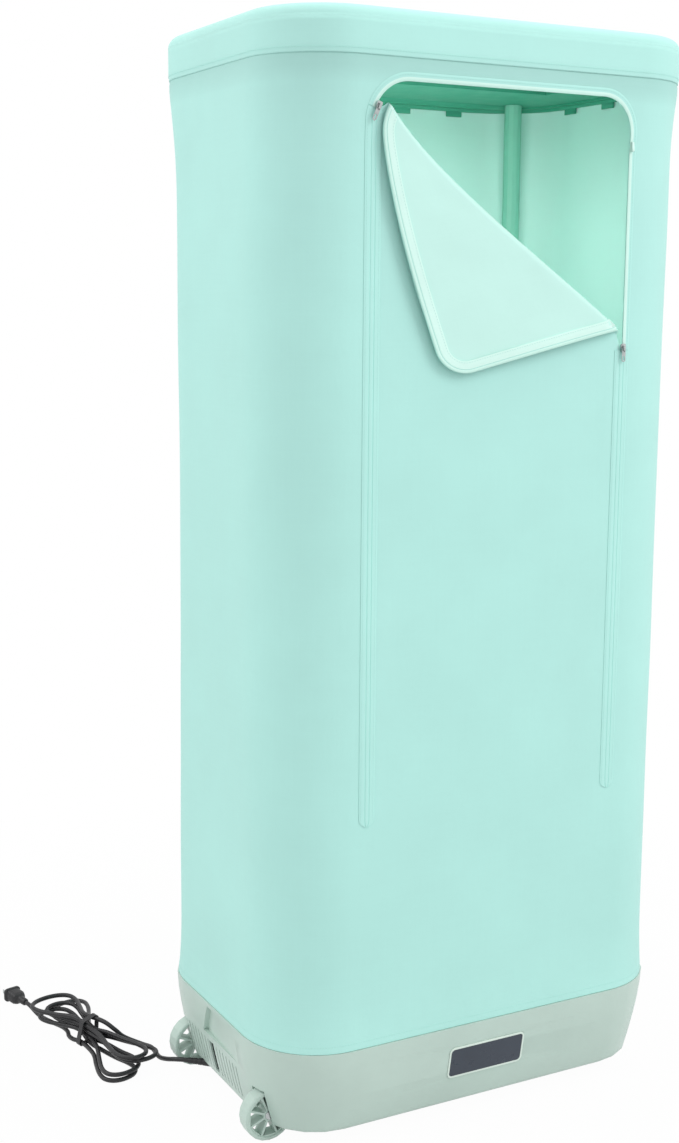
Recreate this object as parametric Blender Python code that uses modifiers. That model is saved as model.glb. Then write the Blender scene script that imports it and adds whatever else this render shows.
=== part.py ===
"""Portable wardrobe clothes dryer.

A plastic base on two wheels and two feet holds a fan and a heater, and a control panel in its front.
Four posts of plug-in tubes carry a lid with a hanging rail, and a fabric cover goes round them.
The cover has a door with a zip of two sliders, whose corner is folded down. The mains cord lies
beside the base, wound into a loose hank.

X runs to the right along the front, Y to the back, Z up. The origin is on the floor, under the
middle of the base. Lengths are in metres.
"""

import bmesh
import bpy
import numpy as np
from bisect import bisect_right
from math import atan2, cos, pi, radians, sin, sqrt, tan
from mathutils import Matrix, Vector

# Clearances and the steps that round shapes are made in
GAP = 0.0003
FIT = 0.0005
OVERRUN = 0.004
CORNER_STEPS = 5
ROUND_SIDES = 20
SMALL_SIDES = 12
OUTLET_SIDES = 28
WHEEL_SIDES = 20
SMOOTH_ANGLE = radians(35)

# The base as a whole
WIDTH = 0.670
DEPTH = 0.440
CORNER_RADIUS = 0.115
BASE_BOTTOM = 0.021
SEAM = 0.147
HULL_WALL = 0.003
TUCK = 0.0205
TUCK_POWER = 1.57
BOTTOM_EDGE = 0.008
HALF_WIDTH = WIDTH / 2
HALF_DEPTH = DEPTH / 2
HALF_FLAT = HALF_WIDTH - CORNER_RADIUS

# Wheels in the two left corners
WHEEL_RADIUS = 0.037
WHEEL_WIDTH = 0.024
WHEEL_PROUD = 0.010
WHEEL_INSET_Y = 0.092
WHEEL_X = WHEEL_RADIUS - WHEEL_PROUD - HALF_WIDTH
WHEEL_Y = HALF_DEPTH - WHEEL_INSET_Y
WHEEL_RIM_INSIDE = 0.0305
WHEEL_HUB_RADIUS = 0.009
WHEEL_SPOKE = 0.003
WHEEL_SPOKES = 8
WHEEL_EDGE = 0.0015
WHEEL_WEB_SINK = 0.002
WELL_CLEARANCE = 0.002
WELL_SPACE = 0.004
WELL_WALL = 0.003
AXLE_RADIUS = 0.004
AXLE_HEAD_RADIUS = 0.0065
AXLE_HEAD = 0.0016
AXLE_BOSS_RADIUS = 0.009
AXLE_BOSS = 0.018

# Feet under the right end
FOOT_INSET_X = 0.085
FOOT_INSET_Y = 0.100
FOOT_X = HALF_WIDTH - FOOT_INSET_X
FOOT_Y = HALF_DEPTH - FOOT_INSET_Y
FOOT_RADIUS = 0.014
FOOT_EDGE = 0.002
FOOT_STUD_RADIUS = 0.004
FOOT_STUD = 0.006

# Ventilation slots and the finger scoop in the left wall
SLOT_PITCH = 0.0116
SLOT_WIDTH = 0.0024
SLOT_TOP = 0.0825
SLOT_BOTTOM = 0.034
SLOT_COUNT = 7
SLOT_FIRST_Y = -0.0668
WIDE_SLOT_WIDTH = 0.0147
WIDE_SLOT_LAND = 0.0085
WIDE_SLOT_BACK_LAND = 0.0040
SCOOP_TOP = 0.141
SCOOP_BOTTOM = 0.093
SCOOP_BACK_Y = 0.030
SCOOP_FRONT_Y = -0.080
SCOOP_DEPTH = 0.007
SCOOP_SLANT = 0.026
SCOOP_PAD_EDGE = 0.002
INTAKE_SLOTS = 7
INTAKE_SLOT_WIDTH = 0.006
INTAKE_SLOT_LENGTH = 0.110

# The deck over the base, with a socket for each post
DECK_SINK = 0.014
DECK_TOP = SEAM - DECK_SINK
DECK_THICKNESS = 0.004
SCREW_BOSS_RADIUS = 0.006
SCREW_BOSS_INSET = 0.037
POST_INSET_X = 0.070
POST_INSET_Y = 0.055
POST_X = HALF_WIDTH - POST_INSET_X
POST_Y = HALF_DEPTH - POST_INSET_Y
POST_RADIUS = 0.0135
POST_WALL = 0.0017
POST_SECTIONS = 3
SPIGOT = 0.025
SOCKET_WALL = 0.0042
SOCKET_HEIGHT = 0.036

# The warm air outlet, the heater and the fan, one above the other
OUTLET_RADIUS = 0.092
GRILLE_LIP = 0.006
GRILLE_LIP_HEIGHT = 0.002
GRILLE_HEIGHT = 0.006
GRILLE_BAR = 0.003
GRILLE_RINGS = 3
GRILLE_SPOKES = 6
GRILLE_HUB_RADIUS = 0.018
HEATER_FRAME_HALF = 0.074
HEATER_FRAME_WALL = 0.003
HEATER_FRAME_HEIGHT = 0.032
HEATER_LEDGE = 0.004
HEATER_HEIGHT = 0.016
HEATER_FINS = 9
HEATER_FIN = 0.0016
HEATER_BARS = 3
HEATER_BAR = 0.007
FAN_RADIUS = 0.075
FAN_TIP_CLEARANCE = 0.002
FAN_HOUSING_WALL = 0.003
FAN_HOUSING_BOTTOM = 0.034
FAN_HOUSING_HEIGHT = 0.050
FAN_STRUTS = 3
FAN_STRUT_WIDTH = 0.008
FAN_STRUT_HEIGHT = 0.004
FAN_LEG_WIDTH = 0.010
MOTOR_RADIUS = 0.020
MOTOR_HEIGHT = 0.020
MOTOR_EDGE = 0.002
SHAFT_RADIUS = 0.002
SHAFT_LENGTH = 0.014
FAN_HUB_RADIUS = 0.022
FAN_HUB_HEIGHT = 0.020
FAN_HUB_GAP = 0.0015
FAN_BLADES = 6
BLADE_THICKNESS = 0.0018
BLADE_ROOT_CHORD = 0.024
BLADE_TIP_CHORD = 0.040
BLADE_ROOT_PITCH = radians(48)
BLADE_TIP_PITCH = radians(24)
BLADE_SECTIONS = 4
BLADE_ROOT_SINK = 0.003
BLADE_SWEEP = radians(14)

# The control panel in the front wall
DISPLAY_WIDTH = 0.127
DISPLAY_HEIGHT = 0.050
DISPLAY_CORNER = 0.008
DISPLAY_X = 0.002
DISPLAY_Z = 0.090
BEZEL_WIDTH = 0.0028
BEZEL_PROUD = 0.0008
BEZEL_DEPTH = 0.0022
GLASS_THICKNESS = 0.0026
DISPLAY_PAD = 0.005
DISPLAY_PAD_BORDER = 0.004
WINDOW_BORDER = 0.006
BOARD_THICKNESS = 0.0016
BOARD_STANDOFF = 0.003
BOARD_STANDOFF_RADIUS = 0.003
CHIP = 0.003

# The power board on the floor of the base
POWER_BOARD_X = 0.180
POWER_BOARD_Y = 0.060
POWER_BOARD_LENGTH = 0.090
POWER_BOARD_WIDTH = 0.070
POWER_BOARD_STANDOFF = 0.006
RELAY_LENGTH = 0.020
RELAY_WIDTH = 0.016
RELAY_HEIGHT = 0.018
CAPACITOR_RADIUS = 0.008
CAPACITOR_HEIGHT = 0.024

# The dust filter behind the slots
FILTER_THICKNESS = 0.003
FILTER_BORDER = 0.004
FILTER_BAR = 0.0016
FILTER_BARS = 5
FILTER_SPACE = 0.001
FILTER_BULGE = 0.0010
FILTER_RAIL = 0.004

# The cover: height, thickness and how its outline runs from the seam to the lid
HEIGHT = 1.521
FABRIC = 0.0012
LID_BAND = 0.060
CREASE = HEIGHT - LID_BAND
LID_ROLL = 0.015
LID_STEPS = 3
SEAM_INSET = 0.001
COVER_INSET = 0.006
FOOT_FLARE = 0.090
TOP_FLARE = 0.120
LID_OVERHANG = 0.009
LID_HALF_DEPTH = HALF_DEPTH + LID_OVERHANG
FLARE_STEPS = 4
HEM_ABOVE = 0.012
HEM_BELOW = 0.0025
HEM_THICKNESS = 0.002

# The lid's shell, the ceiling under it and the rail in the ceiling's channel
LID_SHELL_WALL = 0.0025
CEILING_SINK = 0.057
CEILING = HEIGHT - CEILING_SINK
CEILING_THICKNESS = 0.003
CEILING_STEP = 0.003
CEILING_STEP_WIDTH = 0.012
CEILING_RIM = 0.005
CEILING_RIM_WALL = 0.003
CEILING_INSET = 0.007
TAB_LENGTH = 0.028
TAB_DROP = 0.008
TAB_THICKNESS = 0.0025
TAB_PITCH = 0.095
RAIL_RADIUS = 0.008
RAIL_WALL = 0.0015
RAIL_INSET = 0.035
RAIL_RISE = 0.020
RAIL_HALF_LENGTH = POST_X - RAIL_INSET
RAIL_Z = CEILING + RAIL_RISE
RAIL_CHANNEL_HALF = 0.025
RAIL_CHANNEL_HEIGHT = 0.038
RAIL_CHANNEL_TOP = CEILING + RAIL_CHANNEL_HEIGHT
RAIL_SOCKET = 0.008
POST_CUP = 0.020

# The door, its zip and the fold that lays its corner down
DOOR_INSET = 0.020
DOOR_RISE = 0.328
DOOR_DROP = 0.029
DOOR_HALF = HALF_FLAT - DOOR_INSET
DOOR_BOTTOM = SEAM + DOOR_RISE
DOOR_TOP = CREASE - DOOR_DROP
DOOR_CORNER = 0.048
DOOR_SLIT = 0.002
TAPE_HALF = 0.012
TAPE_THICKNESS = 0.0008
TAPE_GROOVE_HALF = 0.0014
TAPE_GROOVE_DEPTH = 0.0004
FOLD_START_ANGLE = radians(143)
FOLD_DROP = 0.321
FOLD_END_Z = DOOR_TOP - FOLD_DROP
FOLD_SAG = 0.022
FOLD_SKEW_SHARE = 0.6
FOLD_RADIUS = 0.0075
FOLD_END_RADIUS = 0.0018
FOLD_DRAW = 0.011
FOLD_DRAW_LEAD = 0.016
FOLD_ROWS = 12
FOLD_COLUMNS = 10
FLAP_REACH_SHARE = 0.83
FLAP_LEAN_SHARE = 0.45
FLAP_LEAN_RUN = 0.180
DOOR_TAPE_WIDTH = 0.010
DOOR_TAPE_INSET = 0.002
DOOR_TAPE_THICKNESS = 0.0007
SLIDER_LENGTH = 0.012
SLIDER_HALF_WIDTH = 0.0042
SLIDER_THICKNESS = 0.0030
SLIDER_BRIDGE_HALF = 0.0014
SLIDER_BRIDGE_HEIGHT = 0.0032
SLIDER_BRIDGE_WALL = 0.0012
PULL_LENGTH = 0.019
PULL_HALF_WIDTH = 0.0030
PULL_THICKNESS = 0.0010
PULL_EYE_WALL = 0.0011
SLIDER_DROP = 0.013
RIGHT_SLIDER_Z = FOLD_END_Z - SLIDER_DROP
RIGHT_TAPE_TOP = RIGHT_SLIDER_Z - SLIDER_LENGTH / 4
LEFT_SLIDER_ANGLE = radians(159)
LEFT_TAPE_ANGLE = radians(163)
TAB_DOWN = 0.061
TAB_Z = DOOR_TOP - TAB_DOWN
TAB_LOOP_LENGTH = 0.012
TAB_LOOP_RADIUS = 0.0025
TAB_LOOP_WIDTH = 0.006

# The mains cord: its gland in the base, its way over the floor, the hank's loops and the plug
GLAND_Y = 0.076
GLAND_TURN = radians(139)
GLAND_RADIUS = 0.0055
GLAND_TIP_RADIUS = 0.0043
GLAND_INSIDE = 0.012
GLAND_OUTSIDE = 0.030
GLAND_COLLAR_RADIUS = 0.0075
GLAND_COLLAR = 0.003
GLAND_BLOCK_HALF = 0.013
GLAND_BLOCK_HEIGHT = 0.010
GLAND_RIBS = 3
GLAND_RIB = 0.0018
GLAND_RIB_DEPTH = 0.0007
CORD_RADIUS = 0.0035
CORD_Z = 0.0038
LEAD_PITCH = 0.016
HANK_PITCH = 0.021
# Places of the cord's first stretch; the first number counts from the base's left side
LEAD_ROUTE = (
    (0.0029, 0.0959, 0.0215), (-0.0045, 0.1025, 0.0213), (-0.0130, 0.1135, 0.0190),
    (-0.0190, 0.1290, 0.0140), (-0.0220, 0.1500, 0.0085), (-0.0216, 0.1685, 0.0090),
    (-0.0229, 0.1838, 0.0108), (-0.0303, 0.2016, 0.0096), (-0.0527, 0.2215, 0.0180),
    (-0.0655, 0.2277, 0.0302), (-0.0782, 0.2448, 0.0396))
HANK_CLEAR = 0.095
HANK_MIDDLE = (-HALF_WIDTH - HANK_CLEAR, 0.250)
HANK_AXIS = (-0.225, 0.974)
HANK_COLUMN = 0.0043
HANK_LAYER = 0.0082
HANK_WAIST_Z = 0.0070
HANK_STEP_RUN = 0.030
HANK_FAN_RUN = 0.045
HANK_LIFT_START = 0.008
HANK_LIFT_RUN = 0.030
HANK_SETTLE_START = 0.020
HANK_SETTLE_RUN = 0.060
HANK_DROOP_SHARE = 0.45
HANK_APART = 0.024

# Loops of the hank at its far and its near end, top one first: length, bulge, fan angle and droop
HANK_FAR = (
    (0.1303, 0.0850, radians(-3), 0.0000),
    (0.1150, 0.0544, radians(1), 0.0000),
    (0.1176, 0.0563, radians(-5), 0.0000),
    (0.1460, 0.0767, radians(15), 0.0024))
HANK_NEAR = (
    (0.1257, 0.0516, radians(2), 0.0002),
    (0.1257, 0.0648, radians(9), 0.0000),
    (0.1298, 0.0700, radians(-9), 0.0000),
    (0.1300, 0.0659, radians(-7), 0.0000))

# The stretch from the hank to the plug: across and along the hank, and height
TAIL_ROUTE = (
    (-0.0135, 0.0100, 0.0070), (-0.0168, 0.0280, 0.0058), (-0.0140, 0.0460, 0.0038),
    (-0.0070, 0.0620, 0.0038), (-0.0045, 0.0800, 0.0038), (-0.0074, 0.1012, 0.0038),
    (-0.0105, 0.1250, 0.0038), (-0.0110, 0.1431, 0.0042), (-0.0110, 0.1560, 0.0066),
    (-0.0110, 0.1680, 0.0100), (-0.0110, 0.1750, 0.0113), (-0.0110, 0.1840, 0.0115))
HANK_TAIL_POINTS = 5
HANK_FIRST_POINT = 6
TIE_WALL = 0.0013
TIE_WIDTH = 0.010
TIE_SPACE = 0.0003
TIE_ALONG = 0.012
PLUG_HALF_WIDTH = 0.0145
PLUG_HALF_HEIGHT = 0.0110
PLUG_CORNER = 0.0060
PLUG_FACE = 0.0470
PLUG_SHARES = (
    (0.310, 0.409, 0.733, 0.000), (0.400, 0.527, 0.950, 0.043), (0.428, 0.545, 0.967, 0.362),
    (0.690, 0.773, 1.000, 0.426), (0.828, 0.864, 1.000, 0.553), (0.828, 0.864, 1.000, 0.872),
    (1.000, 1.000, 1.000, 0.904), (1.000, 1.000, 1.000, 1.000))
PLUG_CORNER_STEPS = 3
BLADE_PITCH = 0.0127
BLADE_THICK = 0.0015
BLADE_WIDTH = 0.0063
BLADE_LENGTH = 0.016
BLADE_SINK = 0.008

# Colours, in linear values, each with its roughness and metallic share
SHELL_GREEN = (0.533, 0.651, 0.604, 1.0)
COVER_GREEN = (0.451, 0.791, 0.730, 1.0)
COVER_INSIDE_GREEN = (0.546, 0.871, 0.791, 1.0)
CEILING_GREEN = (0.038, 0.327, 0.195, 1.0)
POST_GREEN = (0.147, 0.456, 0.327, 1.0)
GLASS_SLATE = (0.069, 0.089, 0.122, 1.0)
BEZEL_WHITE = (0.752, 0.831, 0.791, 1.0)
CORD_BLACK = (0.026, 0.026, 0.030, 1.0)
STEEL_GREY = (0.500, 0.510, 0.520, 1.0)
DARK_GREY = (0.080, 0.085, 0.090, 1.0)
BOARD_GREEN = (0.030, 0.150, 0.060, 1.0)
CERAMIC_GREY = (0.450, 0.440, 0.420, 1.0)


# Helpers for scenes, materials and finished pieces

def clear_scene():
    for item in list(bpy.data.objects):
        bpy.data.objects.remove(item, do_unlink=True)


def make_collection(name):
    collection = bpy.data.collections.new(name)
    bpy.context.scene.collection.children.link(collection)
    return collection


def material(name, colour, roughness, metallic=0.0):
    """Give the named material, made on its first use."""
    found = bpy.data.materials.get(name)
    if found:
        return found
    made = bpy.data.materials.new(name)
    made.use_nodes = True
    shader = made.node_tree.nodes["Principled BSDF"]
    shader.inputs["Base Color"].default_value = colour
    shader.inputs["Roughness"].default_value = roughness
    shader.inputs["Metallic"].default_value = metallic
    made.diffuse_color = colour
    return made


def shell_plastic():
    return material("shell_plastic", SHELL_GREEN, 0.35)


def cover_fabric():
    return material("cover_fabric", COVER_GREEN, 0.8)


def zip_tape():
    return material("zip_tape", COVER_INSIDE_GREEN, 0.7)


def post_plastic():
    return material("post_plastic", POST_GREEN, 0.4)


def ceiling_plastic():
    return material("ceiling_plastic", CEILING_GREEN, 0.45)


def dark_plastic():
    return material("dark_plastic", DARK_GREY, 0.5)


def steel():
    return material("steel", STEEL_GREY, 0.3, 1.0)


def cord_rubber():
    return material("cord_rubber", CORD_BLACK, 0.45)


def put(name, mesh, surface=None):
    """Link a mesh as an object: a finished part if it has a material, otherwise a cutter."""
    item = bpy.data.objects.new(name, mesh)
    if surface:
        mesh.materials.clear()
        mesh.materials.append(surface)
        PARTS.objects.link(item)
    else:
        CUTTERS.objects.link(item)
        item.hide_render = True
        item.display_type = "WIRE"
    return item


def finish(item, surface):
    """Make a worked shape a finished part, with round faces shaded smooth."""
    CUTTERS.objects.unlink(item)
    PARTS.objects.link(item)
    item.hide_render = False
    item.display_type = "TEXTURED"
    item.data.materials.clear()
    item.data.materials.append(surface)
    item.data.shade_smooth()
    item.data.set_sharp_from_angle(angle=SMOOTH_ANGLE)
    return item


def from_bmesh(name, shape):
    mesh = bpy.data.meshes.new(name)
    shape.to_mesh(mesh)
    shape.free()
    return put(name, mesh)


def settle(item):
    """Replace an object's mesh by what its modifiers make of it, at its place in the world."""
    bpy.context.view_layer.update()
    graph = bpy.context.evaluated_depsgraph_get()
    mesh = bpy.data.meshes.new_from_object(item.evaluated_get(graph))
    mesh.transform(item.matrix_world)
    if item.type == "CURVE":
        name = item.name
        bpy.data.objects.remove(item)
        shape = bmesh.new()
        shape.from_mesh(mesh)
        bmesh.ops.remove_doubles(shape, verts=shape.verts, dist=GAP / 100)
        return from_bmesh(name, shape)
    item.modifiers.clear()
    item.data = mesh
    item.matrix_world = Matrix.Identity(4)
    return item


def boolean(item, other, operation):
    change = item.modifiers.new(operation.lower(), "BOOLEAN")
    change.operation = operation
    change.object = other
    change.solver = "EXACT"


def worked(item, cuts=(), joins=()):
    """Join shapes to an object, then cut others out of it."""
    for other in joins:
        boolean(item, other, "UNION")
    for other in cuts:
        boolean(item, other, "DIFFERENCE")
    return settle(item)


# Helpers for plain shapes

def box(name, low, high):
    """A block between two opposite corners."""
    shape = bmesh.new()
    bmesh.ops.create_cube(shape, size=1.0)
    size = [b - a for a, b in zip(low, high)]
    middle = [(a + b) / 2 for a, b in zip(low, high)]
    bmesh.ops.scale(shape, vec=size, verts=shape.verts)
    bmesh.ops.translate(shape, vec=middle, verts=shape.verts)
    return from_bmesh(name, shape)


def cylinder(name, centre, radius, low, high, sides=ROUND_SIDES, top_radius=None, axis="Z"):
    """A cylinder or cone about an axis through centre, between two places along that axis."""
    shape = bmesh.new()
    end_radius = radius if top_radius is None else top_radius
    bmesh.ops.create_cone(shape, cap_ends=True, segments=sides, radius1=radius, radius2=end_radius,
                          depth=high - low)
    turn = {"Z": Matrix.Identity(3), "Y": Matrix.Rotation(-pi / 2, 3, "X"), "X": Matrix.Rotation(pi / 2, 3, "Y")}
    bmesh.ops.rotate(shape, matrix=turn[axis], verts=shape.verts)
    place = list(centre)
    place["XYZ".index(axis)] = (low + high) / 2
    bmesh.ops.translate(shape, vec=place, verts=shape.verts)
    return from_bmesh(name, shape)


def turned(name, profile, sides=ROUND_SIDES, at=None):
    """Turn a closed profile of (radius, height) points about Z, top of the outer side first."""
    shape = bmesh.new()
    points = [shape.verts.new((radius, 0, height)) for radius, height in profile]
    for one, two in zip(points, points[1:] + points[:1]):
        if one.co.x > 0 or two.co.x > 0:
            shape.edges.new((one, two))
    item = from_bmesh(name, shape)
    screw = item.modifiers.new("turn", "SCREW")
    screw.steps = sides
    screw.render_steps = sides
    screw.use_merge_vertices = True
    screw.merge_threshold = GAP / 10
    if at is not None:
        item.matrix_world = at
    return settle(item)


def rounded_rectangle(half_x, half_y, radius, steps=CORNER_STEPS):
    """Points anticlockwise round a rectangle with round corners."""
    points = []
    corners = ((1, 1), (-1, 1), (-1, -1), (1, -1))
    for quarter, (side_x, side_y) in enumerate(corners):
        for step in range(steps + 1):
            angle = (quarter + step / steps) * pi / 2
            x = side_x * (half_x - radius) + radius * cos(angle)
            y = side_y * (half_y - radius) + radius * sin(angle)
            points.append((x, y))
    return points


def loft(name, rings, closed_ends=True):
    """Skin a row of rings that have the same number of points, lowest ring first."""
    shape = bmesh.new()
    rows = [[shape.verts.new(point) for point in ring] for ring in rings]
    for lower, upper in zip(rows, rows[1:]):
        for i in range(len(lower)):
            j = (i + 1) % len(lower)
            shape.faces.new((lower[i], lower[j], upper[j], upper[i]))
    if closed_ends:
        shape.faces.new(list(reversed(rows[0])))
        shape.faces.new(rows[-1])
        bmesh.ops.recalc_face_normals(shape, faces=shape.faces)
    return from_bmesh(name, shape)


def plate(name, outline, thickness, holes=()):
    """A flat plate in the XY plane, its thickness shared above and below, from a filled curve."""
    curve = bpy.data.curves.new(name, "CURVE")
    curve.dimensions = "2D"
    curve.fill_mode = "BOTH"
    curve.extrude = thickness / 2
    for points in (outline, *holes):
        spline = curve.splines.new("POLY")
        spline.points.add(len(points) - 1)
        for knot, (x, y) in zip(spline.points, points):
            knot.co = (x, y, 0, 1)
        spline.use_cyclic_u = True
    item = bpy.data.objects.new(name, curve)
    CUTTERS.objects.link(item)
    return settle(item)


def moved(item, matrix):
    item.data.transform(matrix)
    return item


def solid_sheet(name, rows, thickness):
    """A sheet through a grid of points, given its thickness on the side its normals point away from."""
    shape = bmesh.new()
    grid = [[shape.verts.new(point) for point in row] for row in rows]
    for lower, upper in zip(grid, grid[1:]):
        for i in range(len(lower) - 1):
            shape.faces.new((lower[i], lower[i + 1], upper[i + 1], upper[i]))
    item = from_bmesh(name, shape)
    solid = item.modifiers.new("thickness", "SOLIDIFY")
    solid.thickness = thickness
    solid.offset = -1
    solid.use_even_offset = True
    return settle(item)


def turn_about(point, item):
    """Give a moving piece its origin at a point of its joint's axis."""
    item.data.transform(Matrix.Translation(-Vector(point)))
    item.location = point
    return item


# The base tub

HULL_STEPS = 5
EDGE_STEPS = 3
KNEE = BASE_BOTTOM + BOTTOM_EDGE
FLOOR_TOP = BASE_BOTTOM + HULL_WALL
DECK_BOTTOM = DECK_TOP - DECK_THICKNESS
WELL_HALF = WHEEL_WIDTH / 2 + WELL_CLEARANCE
WELL_RADIUS = WHEEL_RADIUS + WELL_SPACE
SCREW_BOSS_SHARES = ((-0.60, -1), (0.60, -1), (-0.60, 1), (0, 1), (0.60, 1))
GLAND_Z = BASE_BOTTOM + FIT


def hull_inset(z):
    """How far the hull's wall stands inside the outline of its seam at a height."""
    if z >= KNEE:
        share = (SEAM - min(z, SEAM)) / (SEAM - KNEE)
        return TUCK * share ** TUCK_POWER
    drop = KNEE - z
    return TUCK + BOTTOM_EDGE - sqrt(BOTTOM_EDGE ** 2 - drop ** 2)


def hull_ring(inset, z):
    outline = rounded_rectangle(HALF_WIDTH - inset, HALF_DEPTH - inset, CORNER_RADIUS - inset)
    return [(x, y, z) for x, y in outline]


def hull_solid():
    rings = []
    for step in range(EDGE_STEPS):
        z = KNEE - BOTTOM_EDGE * cos(step / EDGE_STEPS * pi / 2)
        rings.append(hull_ring(hull_inset(z), z))
    for step in range(HULL_STEPS + 1):
        z = KNEE + (SEAM - KNEE) * step / HULL_STEPS
        rings.append(hull_ring(hull_inset(z), z))
    return loft("base_tub", rings)


def hull_core():
    """The room inside the hull, without the wells, bosses, pads and blocks that stand in it."""
    rings = [hull_ring(TUCK + BOTTOM_EDGE / 2 + HULL_WALL, FLOOR_TOP)]
    for step in range(HULL_STEPS + 1):
        z = KNEE + (SEAM - KNEE) * step / HULL_STEPS
        rings.append(hull_ring(hull_inset(z) + HULL_WALL, z))
    rings.append(hull_ring(HULL_WALL, SEAM + OVERRUN))
    return loft("hull_core", rings)


def well_block(side):
    low, high = sorted(side * (WHEEL_Y + way * (WELL_HALF + WELL_WALL)) for way in (-1, 1))
    return box("well_block", (-HALF_WIDTH - OVERRUN, low, 0),
               (WHEEL_X + WELL_RADIUS + WELL_WALL, high,
                WHEEL_RADIUS + WELL_RADIUS + WELL_WALL))


def along_y(name, side, near, far, radius, sides=ROUND_SIDES):
    """A cylinder about a wheel's axis, between two distances from the middle of the base."""
    low, high = sorted((side * near, side * far))
    return cylinder(name, (WHEEL_X, 0, WHEEL_RADIUS), radius, low, high, sides, axis="Y")


def well_cutters(side):
    low, high = sorted((side * (WHEEL_Y - WELL_HALF), side * (WHEEL_Y + WELL_HALF)))
    arch = along_y("well_arch", side, WHEEL_Y - WELL_HALF, WHEEL_Y + WELL_HALF, WELL_RADIUS)
    under = box("well_under", (WHEEL_X - WELL_RADIUS, low, -OVERRUN), (WHEEL_X + WELL_RADIUS, high, WHEEL_RADIUS))
    return [arch, under]


def axle_boss_low():
    return WHEEL_Y - WELL_HALF - AXLE_BOSS


def screw_boss_places():
    reach_x = HALF_WIDTH - SCREW_BOSS_INSET
    reach_y = HALF_DEPTH - SCREW_BOSS_INSET
    return [(share_x * reach_x, share_y * reach_y) for share_x, share_y in SCREW_BOSS_SHARES]


def scoop_ring(z, depth, border):
    """A level section of the finger scoop, which deepens towards its slanted back edge."""
    wall = -(HALF_WIDTH - hull_inset(z))
    share = (z - SCOOP_BOTTOM) / (SCOOP_TOP - SCOOP_BOTTOM)
    back = SCOOP_BACK_Y + SCOOP_SLANT * (1 / 2 - share) + border
    front = SCOOP_FRONT_Y - border
    return [(wall - OVERRUN, front, z), (wall - OVERRUN, back, z), (wall + depth, back, z), (wall + border, front, z)]


def scoop_cutter():
    return loft("scoop", [scoop_ring(SCOOP_BOTTOM, SCOOP_DEPTH, 0), scoop_ring(SCOOP_TOP, SCOOP_DEPTH, 0)])


def scoop_pad():
    depth = SCOOP_DEPTH + HULL_WALL
    low = scoop_ring(SCOOP_BOTTOM - HULL_WALL, depth, HULL_WALL)
    high = scoop_ring(SCOOP_TOP + SCOOP_PAD_EDGE, depth, HULL_WALL)
    return loft("scoop_pad", [low, high])


def slot_centres():
    """Middles and widths of the slots in the left wall, from front to back."""
    places = [(SLOT_FIRST_Y + SLOT_PITCH * k, SLOT_WIDTH) for k in range(SLOT_COUNT)]
    wide = places[-1][0] + SLOT_WIDTH / 2 + WIDE_SLOT_LAND + WIDE_SLOT_WIDTH / 2
    places.append((wide, WIDE_SLOT_WIDTH))
    first_back = wide + WIDE_SLOT_WIDTH / 2 + WIDE_SLOT_BACK_LAND + SLOT_WIDTH / 2
    return places + [(first_back + SLOT_PITCH * k, SLOT_WIDTH) for k in range(SLOT_COUNT)]


def slot_cutters():
    inside = -(HALF_WIDTH - TUCK - HULL_WALL - OVERRUN)
    return [box("slot", (-HALF_WIDTH - OVERRUN, y - width / 2, SLOT_BOTTOM), (inside, y + width / 2, SLOT_TOP))
            for y, width in slot_centres()]


def intake_cutters():
    """Slots through the floor under the fan, as long as the chord that a round intake leaves them."""
    cutters = []
    pitch = 2 * INTAKE_SLOT_WIDTH
    for k in range(INTAKE_SLOTS):
        x = (k - (INTAKE_SLOTS - 1) / 2) * pitch
        half = INTAKE_SLOT_LENGTH / 2 * sqrt(1 - (x / (pitch * INTAKE_SLOTS / 2)) ** 2)
        cutters.append(box("intake_slot", (x - INTAKE_SLOT_WIDTH / 2, -half, BASE_BOTTOM - OVERRUN),
                           (x + INTAKE_SLOT_WIDTH / 2, half, FLOOR_TOP + OVERRUN)))
    return cutters


def display_place():
    """Matrix of the control panel: X along the front, Y up the wall, Z out of it."""
    half = DISPLAY_HEIGHT / 2
    tilt = atan2(hull_inset(DISPLAY_Z - half) - hull_inset(DISPLAY_Z + half), DISPLAY_HEIGHT)
    front = -(HALF_DEPTH - hull_inset(DISPLAY_Z))
    turn = Matrix.Rotation(pi / 2 + tilt, 4, "X")
    return Matrix.Translation((DISPLAY_X, front, DISPLAY_Z)) @ turn


def panel_outline(border, corner=0.0):
    return rounded_rectangle(DISPLAY_WIDTH / 2 + border, DISPLAY_HEIGHT / 2 + border, DISPLAY_CORNER + border + corner)


def display_slab(name, border, low, high):
    """A plate with the panel's outline, widened by a border, between two depths of its wall."""
    slab = plate(name, panel_outline(border), high - low)
    return moved(slab, display_place() @ Matrix.Translation((0, 0, (low + high) / 2)))


def display_standoffs():
    low = -(BEZEL_DEPTH + DISPLAY_PAD + BOARD_STANDOFF)
    high = -(BEZEL_DEPTH + DISPLAY_PAD) + OVERRUN / 2
    pegs = []
    for side_x in (-1, 1):
        for side_y in (-1, 1):
            x = side_x * (DISPLAY_WIDTH / 2 - BOARD_STANDOFF_RADIUS + FIT)
            y = side_y * (DISPLAY_HEIGHT / 2 - BOARD_STANDOFF_RADIUS + FIT)
            peg = cylinder("standoff", (x, y, 0), BOARD_STANDOFF_RADIUS, low, high, SMALL_SIDES)
            pegs.append(moved(peg, display_place()))
    return pegs


def filter_ends():
    """Front and back ends of the dust filter: from the first slot to the boss of the rear axle."""
    return slot_centres()[0][0] - FILTER_BORDER, axle_boss_low() - FILTER_RAIL - 2 * FIT


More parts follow.
